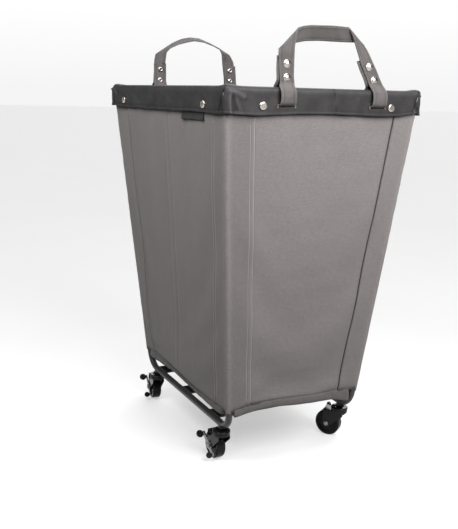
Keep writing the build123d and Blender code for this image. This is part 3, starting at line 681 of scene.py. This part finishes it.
def make_divider():
    """The wall between the two compartments, sewn to the long sides and the floor."""
    top, dip, foot = 0.638, 0.007, 0.1040   # the top edge dips at its middle
    v, u = np.meshgrid(np.linspace(0, 1, 60), np.linspace(-1, 1, 44), indexing="ij")
    z = foot + (top - foot - dip * (1 - u**2)) * v
    half = leg(z)[1] + 0.0052
    slack = (1 - u**2) * np.sin(pi * np.clip(v, 0, 1) ** 0.8)
    x = 0.0022 * ripple(u * 0.2, z, 0.2, 80) * slack + 0.0012 * ripple(u * 0.2, z, 0.06, 81) * slack
    lip = bump(v, 1.0, 0.018)
    points = np.stack([x + 0.0006 * lip, u * half, z], -1)
    # Painted shade: a dark line under the top's fold, by its stitches.
    crease_shade = 0.5 * bump(z, top - dip * (1 - u**2) - 0.022, 0.0012)
    cloth = grid_object("divider_cloth", points, points[..., 1:], 0.0014, 0.0, crease_shade, 0.6 * lip)
    dress(cloth, "canvas", "canvas", "divider")
    y = np.linspace(-0.180, 0.180, 120)
    z = top - dip * (1 - (y / 0.190) ** 2) - 0.020
    runs = [(np.column_stack([np.full(len(y), 0.004 * side), y, z]), np.tile([side, 0, 0], (len(y), 1)))
            for side in (-1.0, 1.0)]
    dress(stitches("divider_stitches", onto(runs, "divider_cloth")), "thread", "canvas")


make_divider()


def make_pockets():
    """Inner strips that close the four leg sleeves, each bulging round its leg."""
    foot, top, spacing = 0.1100, 0.664, 0.004
    z = foot + (top - foot) * np.linspace(0, 1, 50)
    lx, ly = leg(z)
    # One half of the strip's way round a leg, from its seam on the long wall. The other mirrors it.
    half = [(0.0036, -0.036), (0.0030, -0.018), (0.0002, -0.0105), (-0.0075, -0.0085)]
    line = smooth_path(half + [(b, a) for a, b in reversed(half[:-1])], spacing, 1.2)
    uv = spread(np.arange(len(line)) * spacing, z)
    for number, (sx, sy) in enumerate(((-1, -1), (-1, 1), (1, -1), (1, 1)), 1):
        wave = 0.0006 * ripple(z, sx + 2 * sy, 0.07, 90)
        strips = [np.column_stack([sx * (lx + a - wave), sy * (ly + b - wave), z]) for a, b in line]
        points = np.stack(strips, 1)
        if sx * sy > 0:
            points = points[:, ::-1]
        made = grid_object(f"leg_pocket_{number}", points, uv, 0.0008, 0.0)
        dress(made, "canvas", "canvas", "leg_pockets")


make_pockets()

# ---------------------------------------------------------------- rim band
SLITS = {"right": [(-0.1015, -0.0705), (0.0840, 0.1145)], "left": [(-0.1080, -0.0775), (0.0690, 0.1005)]}
BAND_JOIN = 0.0085      # where the band's ends overlap, on the right side
# Place along the short sides, and height of the band's lower edge there.
BAND_EDGE = [(-0.20, 0.641), (-0.14, 0.638), (-0.057, 0.641), (0.012, 0.642), (0.097, 0.639), (0.15, 0.640),
             (0.192, 0.646), (0.20, 0.644)]
BAND_INNER = 0.0180      # from the band's outer face to its inner one
SEWN, SLIT_LOW = 0.6440, 0.6530             # rows of the lower seam, and of the slits' lower edges
# Folds at a corner: (rise, the fold's line as (round from the corner, up from the edge), width).
FOLDS = [(0.0015, [(0.009, 0.0), (0.007, 0.018), (0.008, 0.034)], 0.0020),
         (0.0013, [(0.008, 0.034), (0.020, 0.033), (0.034, 0.026)], 0.0024),
         (0.0005, [(0.030, 0.0), (0.016, 0.030)], 0.0026),
         (-0.0016, [(-0.006, 0.0), (-0.010, 0.018), (-0.004, 0.040)], 0.0022),
         (-0.0012, [(-0.017, 0.002), (-0.012, 0.026)], 0.0020),
         (-0.0010, [(0.019, 0.004), (0.0135, 0.026)], 0.0022)]
FOLD_GAINS = (2.5, 2.0, 1.6, 2.3)           # how strong they are, from the front right corner round


def side_marks(half, points):
    """Places along one side of the rim: fine at its ends and marks, up to 6 mm apart between."""
    fine = [half - 0.009 - k for k in (0, 0.0015, 0.003, 0.005, 0.007, 0.009, 0.012, 0.015, 0.018, 0.022,
                                       0.026, 0.031, 0.037, 0.044)]
    marks = sorted({*(-f for f in fine), *fine, *points})
    return filled([[mark] for mark in marks], 0.006)[:, 0]


def band_rings():
    """Outer ring, inner ring, outward directions, and (side, place on it) of the band's columns."""
    outer, inner, out, sides = [], [], [], []
    join = [BAND_JOIN + d for d in (-0.003, -0.0008, 0, 0.0008, 0.003)]
    plan = [("front", RIM.x, []), ("right", RIM.y, join + [e for s in SLITS["right"] for e in s]),
            ("rear", RIM.x, []), ("left", RIM.y, [-e for s in SLITS["left"] for e in s])]
    radius, inner_radius = 0.0085, 0.004    # of the two rings' corners
    for number, (name, half, points) in enumerate(plan):
        turn = Matrix.Rotation(number * pi / 2, 3, "Z")
        depth = RIM.y if number % 2 == 0 else RIM.x
        for s in side_marks(half, points):
            t = s / (half - radius)
            outer.append(turn @ Vector((s, -depth, 0)))
            inner.append(turn @ Vector((t * (half - BAND_INNER - inner_radius), -(depth - BAND_INNER), 0)))
            out.append(turn @ Vector((0, -1, 0)))
            sides.append((name, s if number < 2 else -s))
        for k in range(1, 8):
            a = -pi / 2 + pi / 2 * k / 8
            way = turn @ Vector((cos(a), sin(a), 0))
            centre = turn @ Vector((half - radius, -(depth - radius), 0))
            hub = turn @ Vector((half - BAND_INNER - inner_radius, -(depth - BAND_INNER - inner_radius), 0))
            outer.append(centre + way * radius)
            inner.append(hub + way * inner_radius)
            out.append(way)
            sides.append(("corner", number))
    return np.array(outer), np.array(inner), np.array(out), sides


def band_profile():
    """Rows of the band from the outer lower edge over the rails: (share inward, height)."""
    bend, springs = 0.0070, 0.6780          # radius of the bends over the rails, and where they start
    rows = [(0, z) for z in (BAND_LOW, 0.6425, SEWN, 0.6470, 0.6500, SLIT_LOW, 0.6570, 0.6600, 0.6630,
                             0.6660, 0.6690, 0.6720, 0.6750, springs)]
    angles = [pi / 2 * k / 6 for k in range(1, 7)]
    turn = [(bend / BAND_INNER * (1 - cos(a)), springs + bend * sin(a)) for a in angles]
    rows += [*turn, (0.5, 0.6852), *((1 - share, z) for share, z in reversed(turn))]
    return np.array(rows + [(1, z) for z in (springs, 0.6745, 0.671, 0.6675, 0.664, 0.6615)])


def ridge(x, z, line, width):
    """How close points (x, z) lie to a broken line, 1 on it and 0 away from it."""
    best = np.full(np.broadcast(x, z).shape, 1e9)
    for (ax, az), (bx, bz) in zip(line, line[1:]):
        dx, dz = bx - ax, bz - az
        t = np.clip(((x - ax) * dx + (z - az) * dz) / (dx * dx + dz * dz), 0, 1)
        best = np.minimum(best, np.hypot(x - ax - t * dx, z - az - t * dz))
    return np.exp(-((best / width) ** 2))


def band_relief(spot, total, height, names, places):
    """Lift, painted shade and painted highlight of the band, and how far its corners bulge up over the
    connectors.
    """
    lift = 0.0005 * ripple(spot[None], height, 0.05, 22) + 0.0004 * ripple(spot[None], height, 0.02, 23)
    lift = lift + 0.0009 * bump(height, BAND_LOW, 0.004)
    # Painted shade along the lower seam, and a painted highlight along the roll over the rails.
    dark = 0.4 * bump(height, 0.6463, 0.0012)
    wear_and_highlight = 0.35 * bump(height, 0.6790, 0.0035)
    bulge = 0.0
    corners = spot[names == "corner"].reshape(4, -1)[:, 3]      # the middle one of each seven
    for corner, gain in zip(corners, FOLD_GAINS):
        d = ((spot - corner + total / 2) % total - total / 2)[None]
        bulge = bulge + 0.0026 * bump(d, 0, 0.017)
        folds = gain * sum(rise * ridge(d, height - BAND_LOW, line, width) for rise, line, width in FOLDS)
        lift = lift + folds
        # Painted shade in the folds' hollows, and painted highlights on their ridges.
        dark = dark + 0.7 * np.clip(-folds / 0.0024, 0, 1)
        wear_and_highlight = wear_and_highlight + 0.9 * np.clip(folds / 0.0024, 0, 1)
    join = (names == "right") * 1.0
    gap = (places - BAND_JOIN)[None] - 0.08 * (RIM.z - height)
    # Painted shadow along the edge where the band's ends overlap.
    dark = dark + 0.85 * join * bump(gap, 0, 0.0009)
    lift = lift + join * 0.0011 / (1 + np.exp(-gap / 0.0004)) * bump(gap, 0, 0.02)
    for name, slits in SLITS.items():
        near = (names == name) * 1.0
        for low, high in slits:
            beside = np.maximum(np.maximum(low - places, places - high), 0)[None]
            lift = lift + near * 0.0012 * bump(beside, 0, 0.004) * bump(height, 0.6575, 0.0035)
            # Painted shade beside the slits.
            dark = dark + near * 0.3 * bump(beside, 0, 0.003) * bump(height, 0.655, 0.004)
    return lift, np.clip(dark, 0, 1), np.clip(wear_and_highlight, 0, 1), bulge


def in_slit(side, following):
    """Whether the cloth between two neighbouring columns is inside a strap's slit."""
    ends = sorted((side[1], following[1]))
    slits = SLITS.get(side[0], []) if side[0] == following[0] else []
    return any(low - 1e-6 < ends[0] and ends[1] < high + 1e-6 for low, high in slits)


def make_band():
    """Vinyl folded over the rails and sewn to the walls."""
    outer, inner, out, sides = band_rings()
    profile = band_profile()
    share, height = profile[:, :1], profile[:, 1:]
    around = lengths(closed(outer))
    spot, total = around[:-1], around[-1]
    names = np.array([name for name, _ in sides])
    short = np.isin(names, ["left", "right"])
    places = np.where(short, [place for _, place in sides], RIM.y)
    lift, dark, wear_and_highlight, bulge = band_relief(spot, total, height, names, places)
    # The lower edge waves, and the corners bulge up over the connectors.
    edge = (np.interp(places, *zip(*BAND_EDGE)) - BAND_LOW) * short
    edge = edge + 0.0006 * ripple(spot, 0, 0.12, 21)
    z = height + edge * np.clip((0.657 - height) / 0.016, 0, 1) * (share < 0.01)
    z = z + bulge * np.clip((height - 0.660) / 0.02, 0, 1)
    ground = outer[None] + (inner - outer)[None] * share[..., None]
    points = np.concatenate([ground[..., :2], z[..., None]], -1)
    points = points + out[None] * (lift * (1 - 2 * (share > 0.5)))[..., None]
    across = lengths(np.column_stack([share * BAND_INNER, height]))
    cut = [in_slit(*pair) for pair in zip(sides, sides[1:] + sides[:1])]
    band = grid_object("rim_band_vinyl", points, spread(around, across), VINYL, crease_shade=dark, wear_and_highlight=wear_and_highlight,
                       wrap=True, skip=np.isclose(height[:-1], SLIT_LOW) & cut)
    dress(band, "vinyl", "band_vinyl", "rim_band")
    outer_row, inner_row = int(np.flatnonzero(np.isclose(height[:, 0], SEWN))[0]), len(profile) - 2
    runs = [(closed(points[row]), way * closed(out)) for row, way in ((outer_row, 1), (inner_row, -1))]
    dress(stitches("band_stitches", runs), "thread_dark", "band_vinyl")


make_band()


def make_tacks():
    """Dense bar tacks at both ends of each strap slit."""
    runs = []
    for end, slits in ((1, SLITS["right"]), (-1, SLITS["left"])):
        for low, high in slits:
            for y in (low - 0.0012, high + 0.0012):
                for k in (-1, 0, 1):
                    line = [(end * (RIM.x + 0.0012), y + k * 0.0005, z) for z in (0.6505, 0.6595)]
                    runs.append((line, [(end, 0, 0)] * 2))
    dress(stitches("slit_bar_tacks", runs, 0.0036, 0.0011), "tack", "webbing")


make_tacks()


def make_label():
    """Blank woven label sewn under the band, its lower edge curling."""
    left, width, sewn = 0.0975, 0.0910, 0.6455
    u, v = np.meshgrid(np.linspace(left, left + width, 40), np.linspace(0, 1, 12))
    t = (u - left) / width
    low = 0.6262 + 0.0006 * np.sin(t * 5) + 0.0022 * t
    z = low + (sewn - low) * v
    out = leg(z)[1] + CLOTH_OUT + 0.0016
    curl = (1 - v) ** 2 * (0.0016 + 0.0008 * t + 0.0005 * np.sin(t * 7 + 1))
    y = -(out + curl + 0.0004 * ripple(u, z, 0.03, 31))
    wear_and_highlight = np.clip(np.maximum(bump(t, 0, 0.02), bump(t, 1, 0.02)) + bump(v, 0, 0.1), 0, 1)
    label = grid_object("blank_label_cloth", np.stack([u, y, z], -1), np.stack([u, z], -1), 0.0007, wear_and_highlight=wear_and_highlight)
    dress(label, "label", "label_cloth", "blank_label")


make_label()

# ---------------------------------------------------------------- handles
# The webbing's way through a slit, as (offset outward from the handle's plane, height).
TURN = [(-0.0070, 0.6885), (-0.0125, 0.6820), (-0.0142, 0.6660), (-0.0120, 0.6580), (-0.0060, 0.6550),
        (0.0100, 0.6550), (0.0158, 0.6585), (0.0176, 0.6690), (0.0158, 0.6800), (0.0085, 0.6872)]


def turn_stations(low, high, lean=0.0):
    """The webbing's way through one slit, from the inside of the bag to the outside."""
    return [((x, low + lean * (z - 0.655), z), (x, high + lean * (z - 0.655), z)) for x, z in TURN]


def flat_stations(pairs, depth):
    """Stations of webbing that lies flat at one depth."""
    return [((depth, *a), (depth, *b)) for a, b in pairs]


# Stations along each handle's webbing, with both its edges as (offset, y, z).
RIGHT_HANDLE = [
    *flat_stations([((-0.1000, 0.7365), (-0.0710, 0.7365)), ((-0.1005, 0.7150), (-0.0710, 0.7150)),
                    ((-0.0990, 0.6970), (-0.0710, 0.6970))], INSIDE),
    *turn_stations(-0.1005, -0.0715),
    *flat_stations([((-0.0945, 0.6930), (-0.0675, 0.6930)), ((-0.0955, 0.7020), (-0.0690, 0.7020)),
                    ((-0.0970, 0.7150), (-0.0692, 0.7150)), ((-0.0982, 0.7290), (-0.0692, 0.7310)),
                    ((-0.0990, 0.7390), (-0.0690, 0.7520)), ((-0.0992, 0.7445), (-0.0640, 0.7800))], OUTSIDE),
    ((-0.0004, -0.0994, 0.7462), (-0.0004, -0.0620, 0.7832)),
    ((-0.0024, -0.0965, 0.7468), (-0.0024, -0.0605, 0.7826)),
    ((-0.0050, -0.0890, 0.7498), (-0.0026, -0.0560, 0.7850)),
    ((-0.0085, -0.0690, 0.7572), (-0.0024, -0.0480, 0.7868)),
    ((-0.0130, -0.0400, 0.7630), (-0.0022, -0.0360, 0.7885)),
    ((-0.0150, -0.0130, 0.7650), (-0.0022, -0.0180, 0.7892)),
    ((-0.0140, 0.0150, 0.7650), (-0.0022, 0.0090, 0.7902)),
    ((-0.0090, 0.0440, 0.7648), (-0.0024, 0.0270, 0.7900)),
    ((-0.0040, 0.0630, 0.7652), (-0.0026, 0.0365, 0.7896)),
    ((-0.0004, 0.0690, 0.7630), (-0.0004, 0.0390, 0.7895)),
    ((0.0010, 0.0722, 0.7590), (0.0014, 0.0440, 0.7800)),
    *flat_stations([((0.0772, 0.7540), (0.0510, 0.7650)), ((0.0845, 0.7430), (0.0592, 0.7460)),
                    ((0.0920, 0.7310), (0.0665, 0.7280)), ((0.1000, 0.7190), (0.0715, 0.7195)),
                    ((0.1060, 0.7080), (0.0770, 0.7095)), ((0.1110, 0.6995), (0.0815, 0.7010)),
                    ((0.1145, 0.6935), (0.0855, 0.6940))], OUTSIDE),
    *[(b, a) for a, b in reversed(turn_stations(0.0845, 0.1140, 0.02))],
    *flat_stations([((0.1100, 0.6965), (0.0800, 0.6935)), ((0.1035, 0.7110), (0.0760, 0.7030)),
                    ((0.0945, 0.7270), (0.0670, 0.7180)), ((0.0880, 0.7410), (0.0600, 0.7330))], INSIDE),
]
LEFT_HANDLE = [
    *flat_stations([((-0.1075, 0.7360), (-0.0790, 0.7360)), ((-0.1070, 0.7150), (-0.0785, 0.7150)),
                    ((-0.1070, 0.6970), (-0.0785, 0.6970))], INSIDE),
    *turn_stations(-0.1072, -0.0782),
    *flat_stations([((-0.1070, 0.6930), (-0.0780, 0.6930)), ((-0.1065, 0.7100), (-0.0780, 0.7100)),
                    ((-0.1055, 0.7270), (-0.0785, 0.7250))], OUTSIDE),
    ((0.0055, -0.1040, 0.7400), (-0.0075, -0.0825, 0.7380)),
    ((0.0105, -0.0990, 0.7550), (-0.0115, -0.0815, 0.7600)),
    ((0.0130, -0.0830, 0.7650), (-0.0130, -0.0740, 0.7690)),
    ((0.0135, -0.0570, 0.7820), (-0.0145, -0.0550, 0.7780)),
    ((0.0135, -0.0350, 0.7920), (-0.0145, -0.0340, 0.7840)),
    ((0.0135, -0.0150, 0.7960), (-0.0145, -0.0150, 0.7880)),
    ((0.0135, 0.0080, 0.7950), (-0.0145, 0.0080, 0.7860)),
    ((0.0130, 0.0340, 0.7860), (-0.0140, 0.0350, 0.7780)),
    ((0.0110, 0.0600, 0.7740), (-0.0120, 0.0500, 0.7720)),
    ((0.0060, 0.0840, 0.7610), (-0.0050, 0.0585, 0.7620)),
    ((0.0020, 0.0920, 0.7450), (0.0000, 0.0630, 0.7400)),
    *flat_stations([((0.0945, 0.7280), (0.0655, 0.7260)), ((0.0970, 0.7110), (0.0680, 0.7100)),
                    ((0.0985, 0.6935), (0.0690, 0.6935))], OUTSIDE),
    *[(b, a) for a, b in reversed(turn_stations(0.0695, 0.0990))],
    *flat_stations([((0.0985, 0.6970), (0.0695, 0.6970)), ((0.0970, 0.7150), (0.0680, 0.7150)),
                    ((0.0950, 0.7360), (0.0665, 0.7360))], INSIDE),
]


def ribbon(name, stations, end):
    """Webbing through its stations and its edge stitches. Returns both and the webbing's length."""
    rows = smooth_path([[*a, *b] for a, b in stations], 0.0028, 1.05)
    a, b = rows[:, :3], rows[:, 3:]
    middle = (a + b) / 2
    s = lengths(middle)
    t = np.array([0, 0.03, 0.1, 0.3, 0.5, 0.7, 0.9, 0.97, 1.0])
    grid = a[:, None] + (b - a)[:, None] * t[None, :, None]
    normal = np.cross(b - a, np.gradient(middle, axis=0))
    normal /= np.linalg.norm(normal, axis=1)[:, None] + 1e-9
    cup = 0.0007 * ripple(s, 0, 0.06, 50 + end)[:, None] * (1 - (2 * t - 1) ** 2)
    cup = cup - 0.00035 * bump(t, 0.1, 0.05) - 0.00035 * bump(t, 0.9, 0.05)
    grid = grid + normal[:, None] * cup[..., None]
    points = np.stack([end * (HANDLE_X + grid[..., 0]), grid[..., 1], grid[..., 2]], -1)
    uv = spread(t * STRAP_WIDTH, s)
    # Painted shade in the grooves by the edge stitches and in soft creases along the webbing.
    crease_shade = 0.35 * (bump(t, 0.1, 0.03) + bump(t, 0.9, 0.03))
    crease_shade = crease_shade + 0.22 * np.clip(ripple(s[:, None], t * STRAP_WIDTH, 0.035, 54 + end), 0, 1)
    wear_and_highlight = 0.7 * (bump(t, 0, 0.03) + bump(t, 1, 0.03))
    if end < 0:
        points, uv = points[:, ::-1], uv[:, ::-1]
    strap = grid_object(name, points, uv, WEBBING, 0.0, crease_shade, wear_and_highlight)
    out = normal * np.array([1, end, end])
    runs = [(points[:, k] + side * out * (WEBBING / 2 + 0.0001), side * out)
            for k in (2, 6) for side in (-1, 1)]
    return strap, stitches(name + "_stitches", runs, 0.0022, 0.0009), float(s[-1])


def rivet_parts(points, end):
    """Rivet domes outside, eyelets inside and posts between, through both layers of webbing."""
    dome = [(0.0, 0.0034), (0.0025, 0.0032), (0.0046, 0.0024), (0.0058, 0.0013), (0.0062, 0.0005),
            (0.0070, 0.0007), (0.0072, 0.0), (0.0066, -0.0005), (0.0, -0.0006)]
    back = [(0.0021, 0.0), (0.0021, 0.0014), (0.0030, 0.0020), (0.0046, 0.0017), (0.0061, 0.0008),
            (0.0063, 0.0001), (0.0058, -0.0003), (0.0021, 0.0)]
    post = [(0.0021, -0.0042), (0.0021, 0.0)]
    parts = []
    for y, z in points:
        for profile, depth, way in ((dome, OUTSIDE + WEBBING / 2 + 0.0004, 1),
                                    (back, INSIDE - WEBBING / 2 - 0.0002, -1),
                                    (post, OUTSIDE + WEBBING / 2 + 0.0004, 1)):
            place = Matrix.Translation((end * (HANDLE_X + depth), y, z))
            parts.append(lathe(profile, place @ Matrix.Rotation(way * end * pi / 2, 4, "Y")))
    return parts


HANDLES = (
    ("right", 1, RIGHT_HANDLE, [(-0.0830, 0.7235), (-0.0825, 0.7005), (0.0840, 0.7240), (0.0955, 0.7010)]),
    ("left", -1, LEFT_HANDLE, [(-0.0920, 0.7225), (-0.0925, 0.6990), (0.0810, 0.7250), (0.0830, 0.7020)]),
)
for side, end, stations, rivets in HANDLES:
    body = "handle_" + side
    strap, thread, length = ribbon("webbing_" + side, stations, end)
    for made, finish in ((strap, "webbing"), (thread, "thread_web")):
        dress(made, finish, "webbing", body=None)
        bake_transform(made)
    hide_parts("handle_strap_" + side, "handle_anchor_" + side)
    metal = merged("rivets_" + side, rivet_parts(rivets, end))
    dress(metal, "nickel", "nickel", "handle_rivets_" + side, body=body)

# ---------------------------------------------------------------- metal and plastic from the CAD
# Material and record slot, and what the names of the nodes that have them contain.
FINISHES = {
    ("frame", "frame_paint"): ("side_hoop", "top_rail", "caster_sockets"),
    ("slat", "slat_paint"): ("base_slat",),
    ("moulded", "connector_plastic"): ("corner_connectors",),
    ("nickel", "nickel"): ("band_snaps",),
    ("zinc", "zinc_steel"): ("swivel_balls", "_axle", "brake_lever"),
    ("gloss", "caster_paint"): ("_stem", "race_cup", "_fork"),
    ("wheel", "wheel_plastic"): ("_wheel",),
    ("wheel", "pad_plastic"): ("brake_pads",),
}
for name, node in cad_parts.items():
    if node.hide_render:
        continue
    finish, slot = next(key for key, parts in FINISHES.items() if any(part in name for part in parts))
    node.data.materials.clear()
    node.data.materials.append(MATERIALS[finish])


# ---------------------------------------------------------------- studio
WHITE = (1.0, 1.0, 1.0, 1.0)


def make_floor_stage():
    """Pale floor. It shows in mirrors, but throws no light back onto the object."""
    size = 30
    corners = [(x * size, y * size, 0) for x, y in ((-1, -1), (1, -1), (1, 1), (-1, 1))]
    floor = new_object("studio_floor", corners, [(0, 1, 2, 3)])
    made, tree, shader = start("pale_floor", Roughness=0.9, Specular_IOR_Level=0.1)
    where = put(tree, "ShaderNodeTexCoord").outputs["Object"]
    soft = ramp(tree, noise(tree, where, 2.0, 3.0), 0.3, 0.7)
    tree.links.new(mix(tree, soft, (0.50, 0.50, 0.50), (0.53, 0.53, 0.53)), shader.inputs["Base Color"])
    shader.inputs["Emission Color"].default_value = WHITE
    shader.inputs["Emission Strength"].default_value = 0.48
    floor.data.materials.append(made)
    floor.visible_diffuse = False


def make_world():
    """Dim surroundings behind a white backdrop."""
    world = bpy.data.worlds.new("studio")
    bpy.context.scene.world = world
    world.use_nodes = True
    tree = world.node_tree
    around = tree.nodes["Background"]
    around.inputs["Color"].default_value = WHITE
    around.inputs["Strength"].default_value = 0.10
    way = put(tree, "ShaderNodeTexCoord").outputs["Generated"]
    rise = put(tree, "ShaderNodeSeparateXYZ", i0=way).outputs["Z"]
    glow = ramp(tree, rise, 0.0, 0.10, 0.91, 1.0)
    backdrop = put(tree, "ShaderNodeBackground", Color=WHITE, Strength=glow)
    seen = put(tree, "ShaderNodeLightPath").outputs["Is Camera Ray"]
    both = put(tree, "ShaderNodeMixShader", i0=seen, i1=around.outputs[0], i2=backdrop.outputs[0])
    tree.links.new(both.outputs[0], tree.nodes["World Output"].inputs["Surface"])


# Suns as (name, where the light comes from, strength, width in degrees).
SUNS = (("key", (0.85, -0.10, 0.50), 0.33, 50), ("back", (-0.55, 0.55, 0.63), 2.4, 60))
# Soft boxes as (name, place, point aimed at, watts, width).
PANELS = (("right_panel", (1.10, 0.08, 1.20), (0.2, 0, 0.6), 21.8, 0.8),
          ("front_panel", (0.35, -0.90, 1.35), (0.1, -0.1, 0.6), 11.9, 0.6))


def add_light(name, kind, place, aim, strength):
    """One white light at a place, shining away from aim's direction. Returns its data."""
    light = bpy.data.lights.new(name, kind)
    light.energy = strength
    made = bpy.data.objects.new(name, light)
    made.location = place
    made.rotation_euler = Vector(aim).to_track_quat("Z", "Y").to_euler()
    made.visible_camera = False
    bpy.context.scene.collection.objects.link(made)
    return light


def make_lights():
    """Soft boxes close to the bag's upper half, so its faces darken towards the floor."""
    for name, aim, strength, width in SUNS:
        add_light(name, "SUN", Vector(aim) * 3, aim, strength).angle = radians(width)
    for name, place, target, strength, width in PANELS:
        add_light(name, "AREA", place, Vector(place) - Vector(target), strength).size = width


def make_camera():
    """Camera at the viewing angle of the reference."""
    azimuth, elevation, roll = (radians(a) for a in (62.49, 7.11, 1.44))
    back = Vector((sin(azimuth) * cos(elevation), -cos(azimuth) * cos(elevation), sin(elevation)))
    right = (-back).cross(Vector((0, 0, 1))).normalized()
    up = right.cross(-back)
    right, up = right * cos(roll) + up * sin(roll), up * cos(roll) - right * sin(roll)
    lens = bpy.data.cameras.new("camera")
    lens.sensor_width = 36
    lens.lens = 52.54
    lens.shift_y = -0.1408
    lens.clip_end = 60
    camera = bpy.data.objects.new("camera", lens)
    place = Matrix.Translation((1.3547, -0.7528, 0.6723))
    camera.matrix_world = place @ Matrix((right, up, back)).transposed().to_4x4()
    bpy.context.scene.collection.objects.link(camera)
    bpy.context.scene.camera = camera


make_floor_stage()
make_world()
make_lights()
make_camera()
bpy.context.scene.view_settings.view_transform = "Standard"
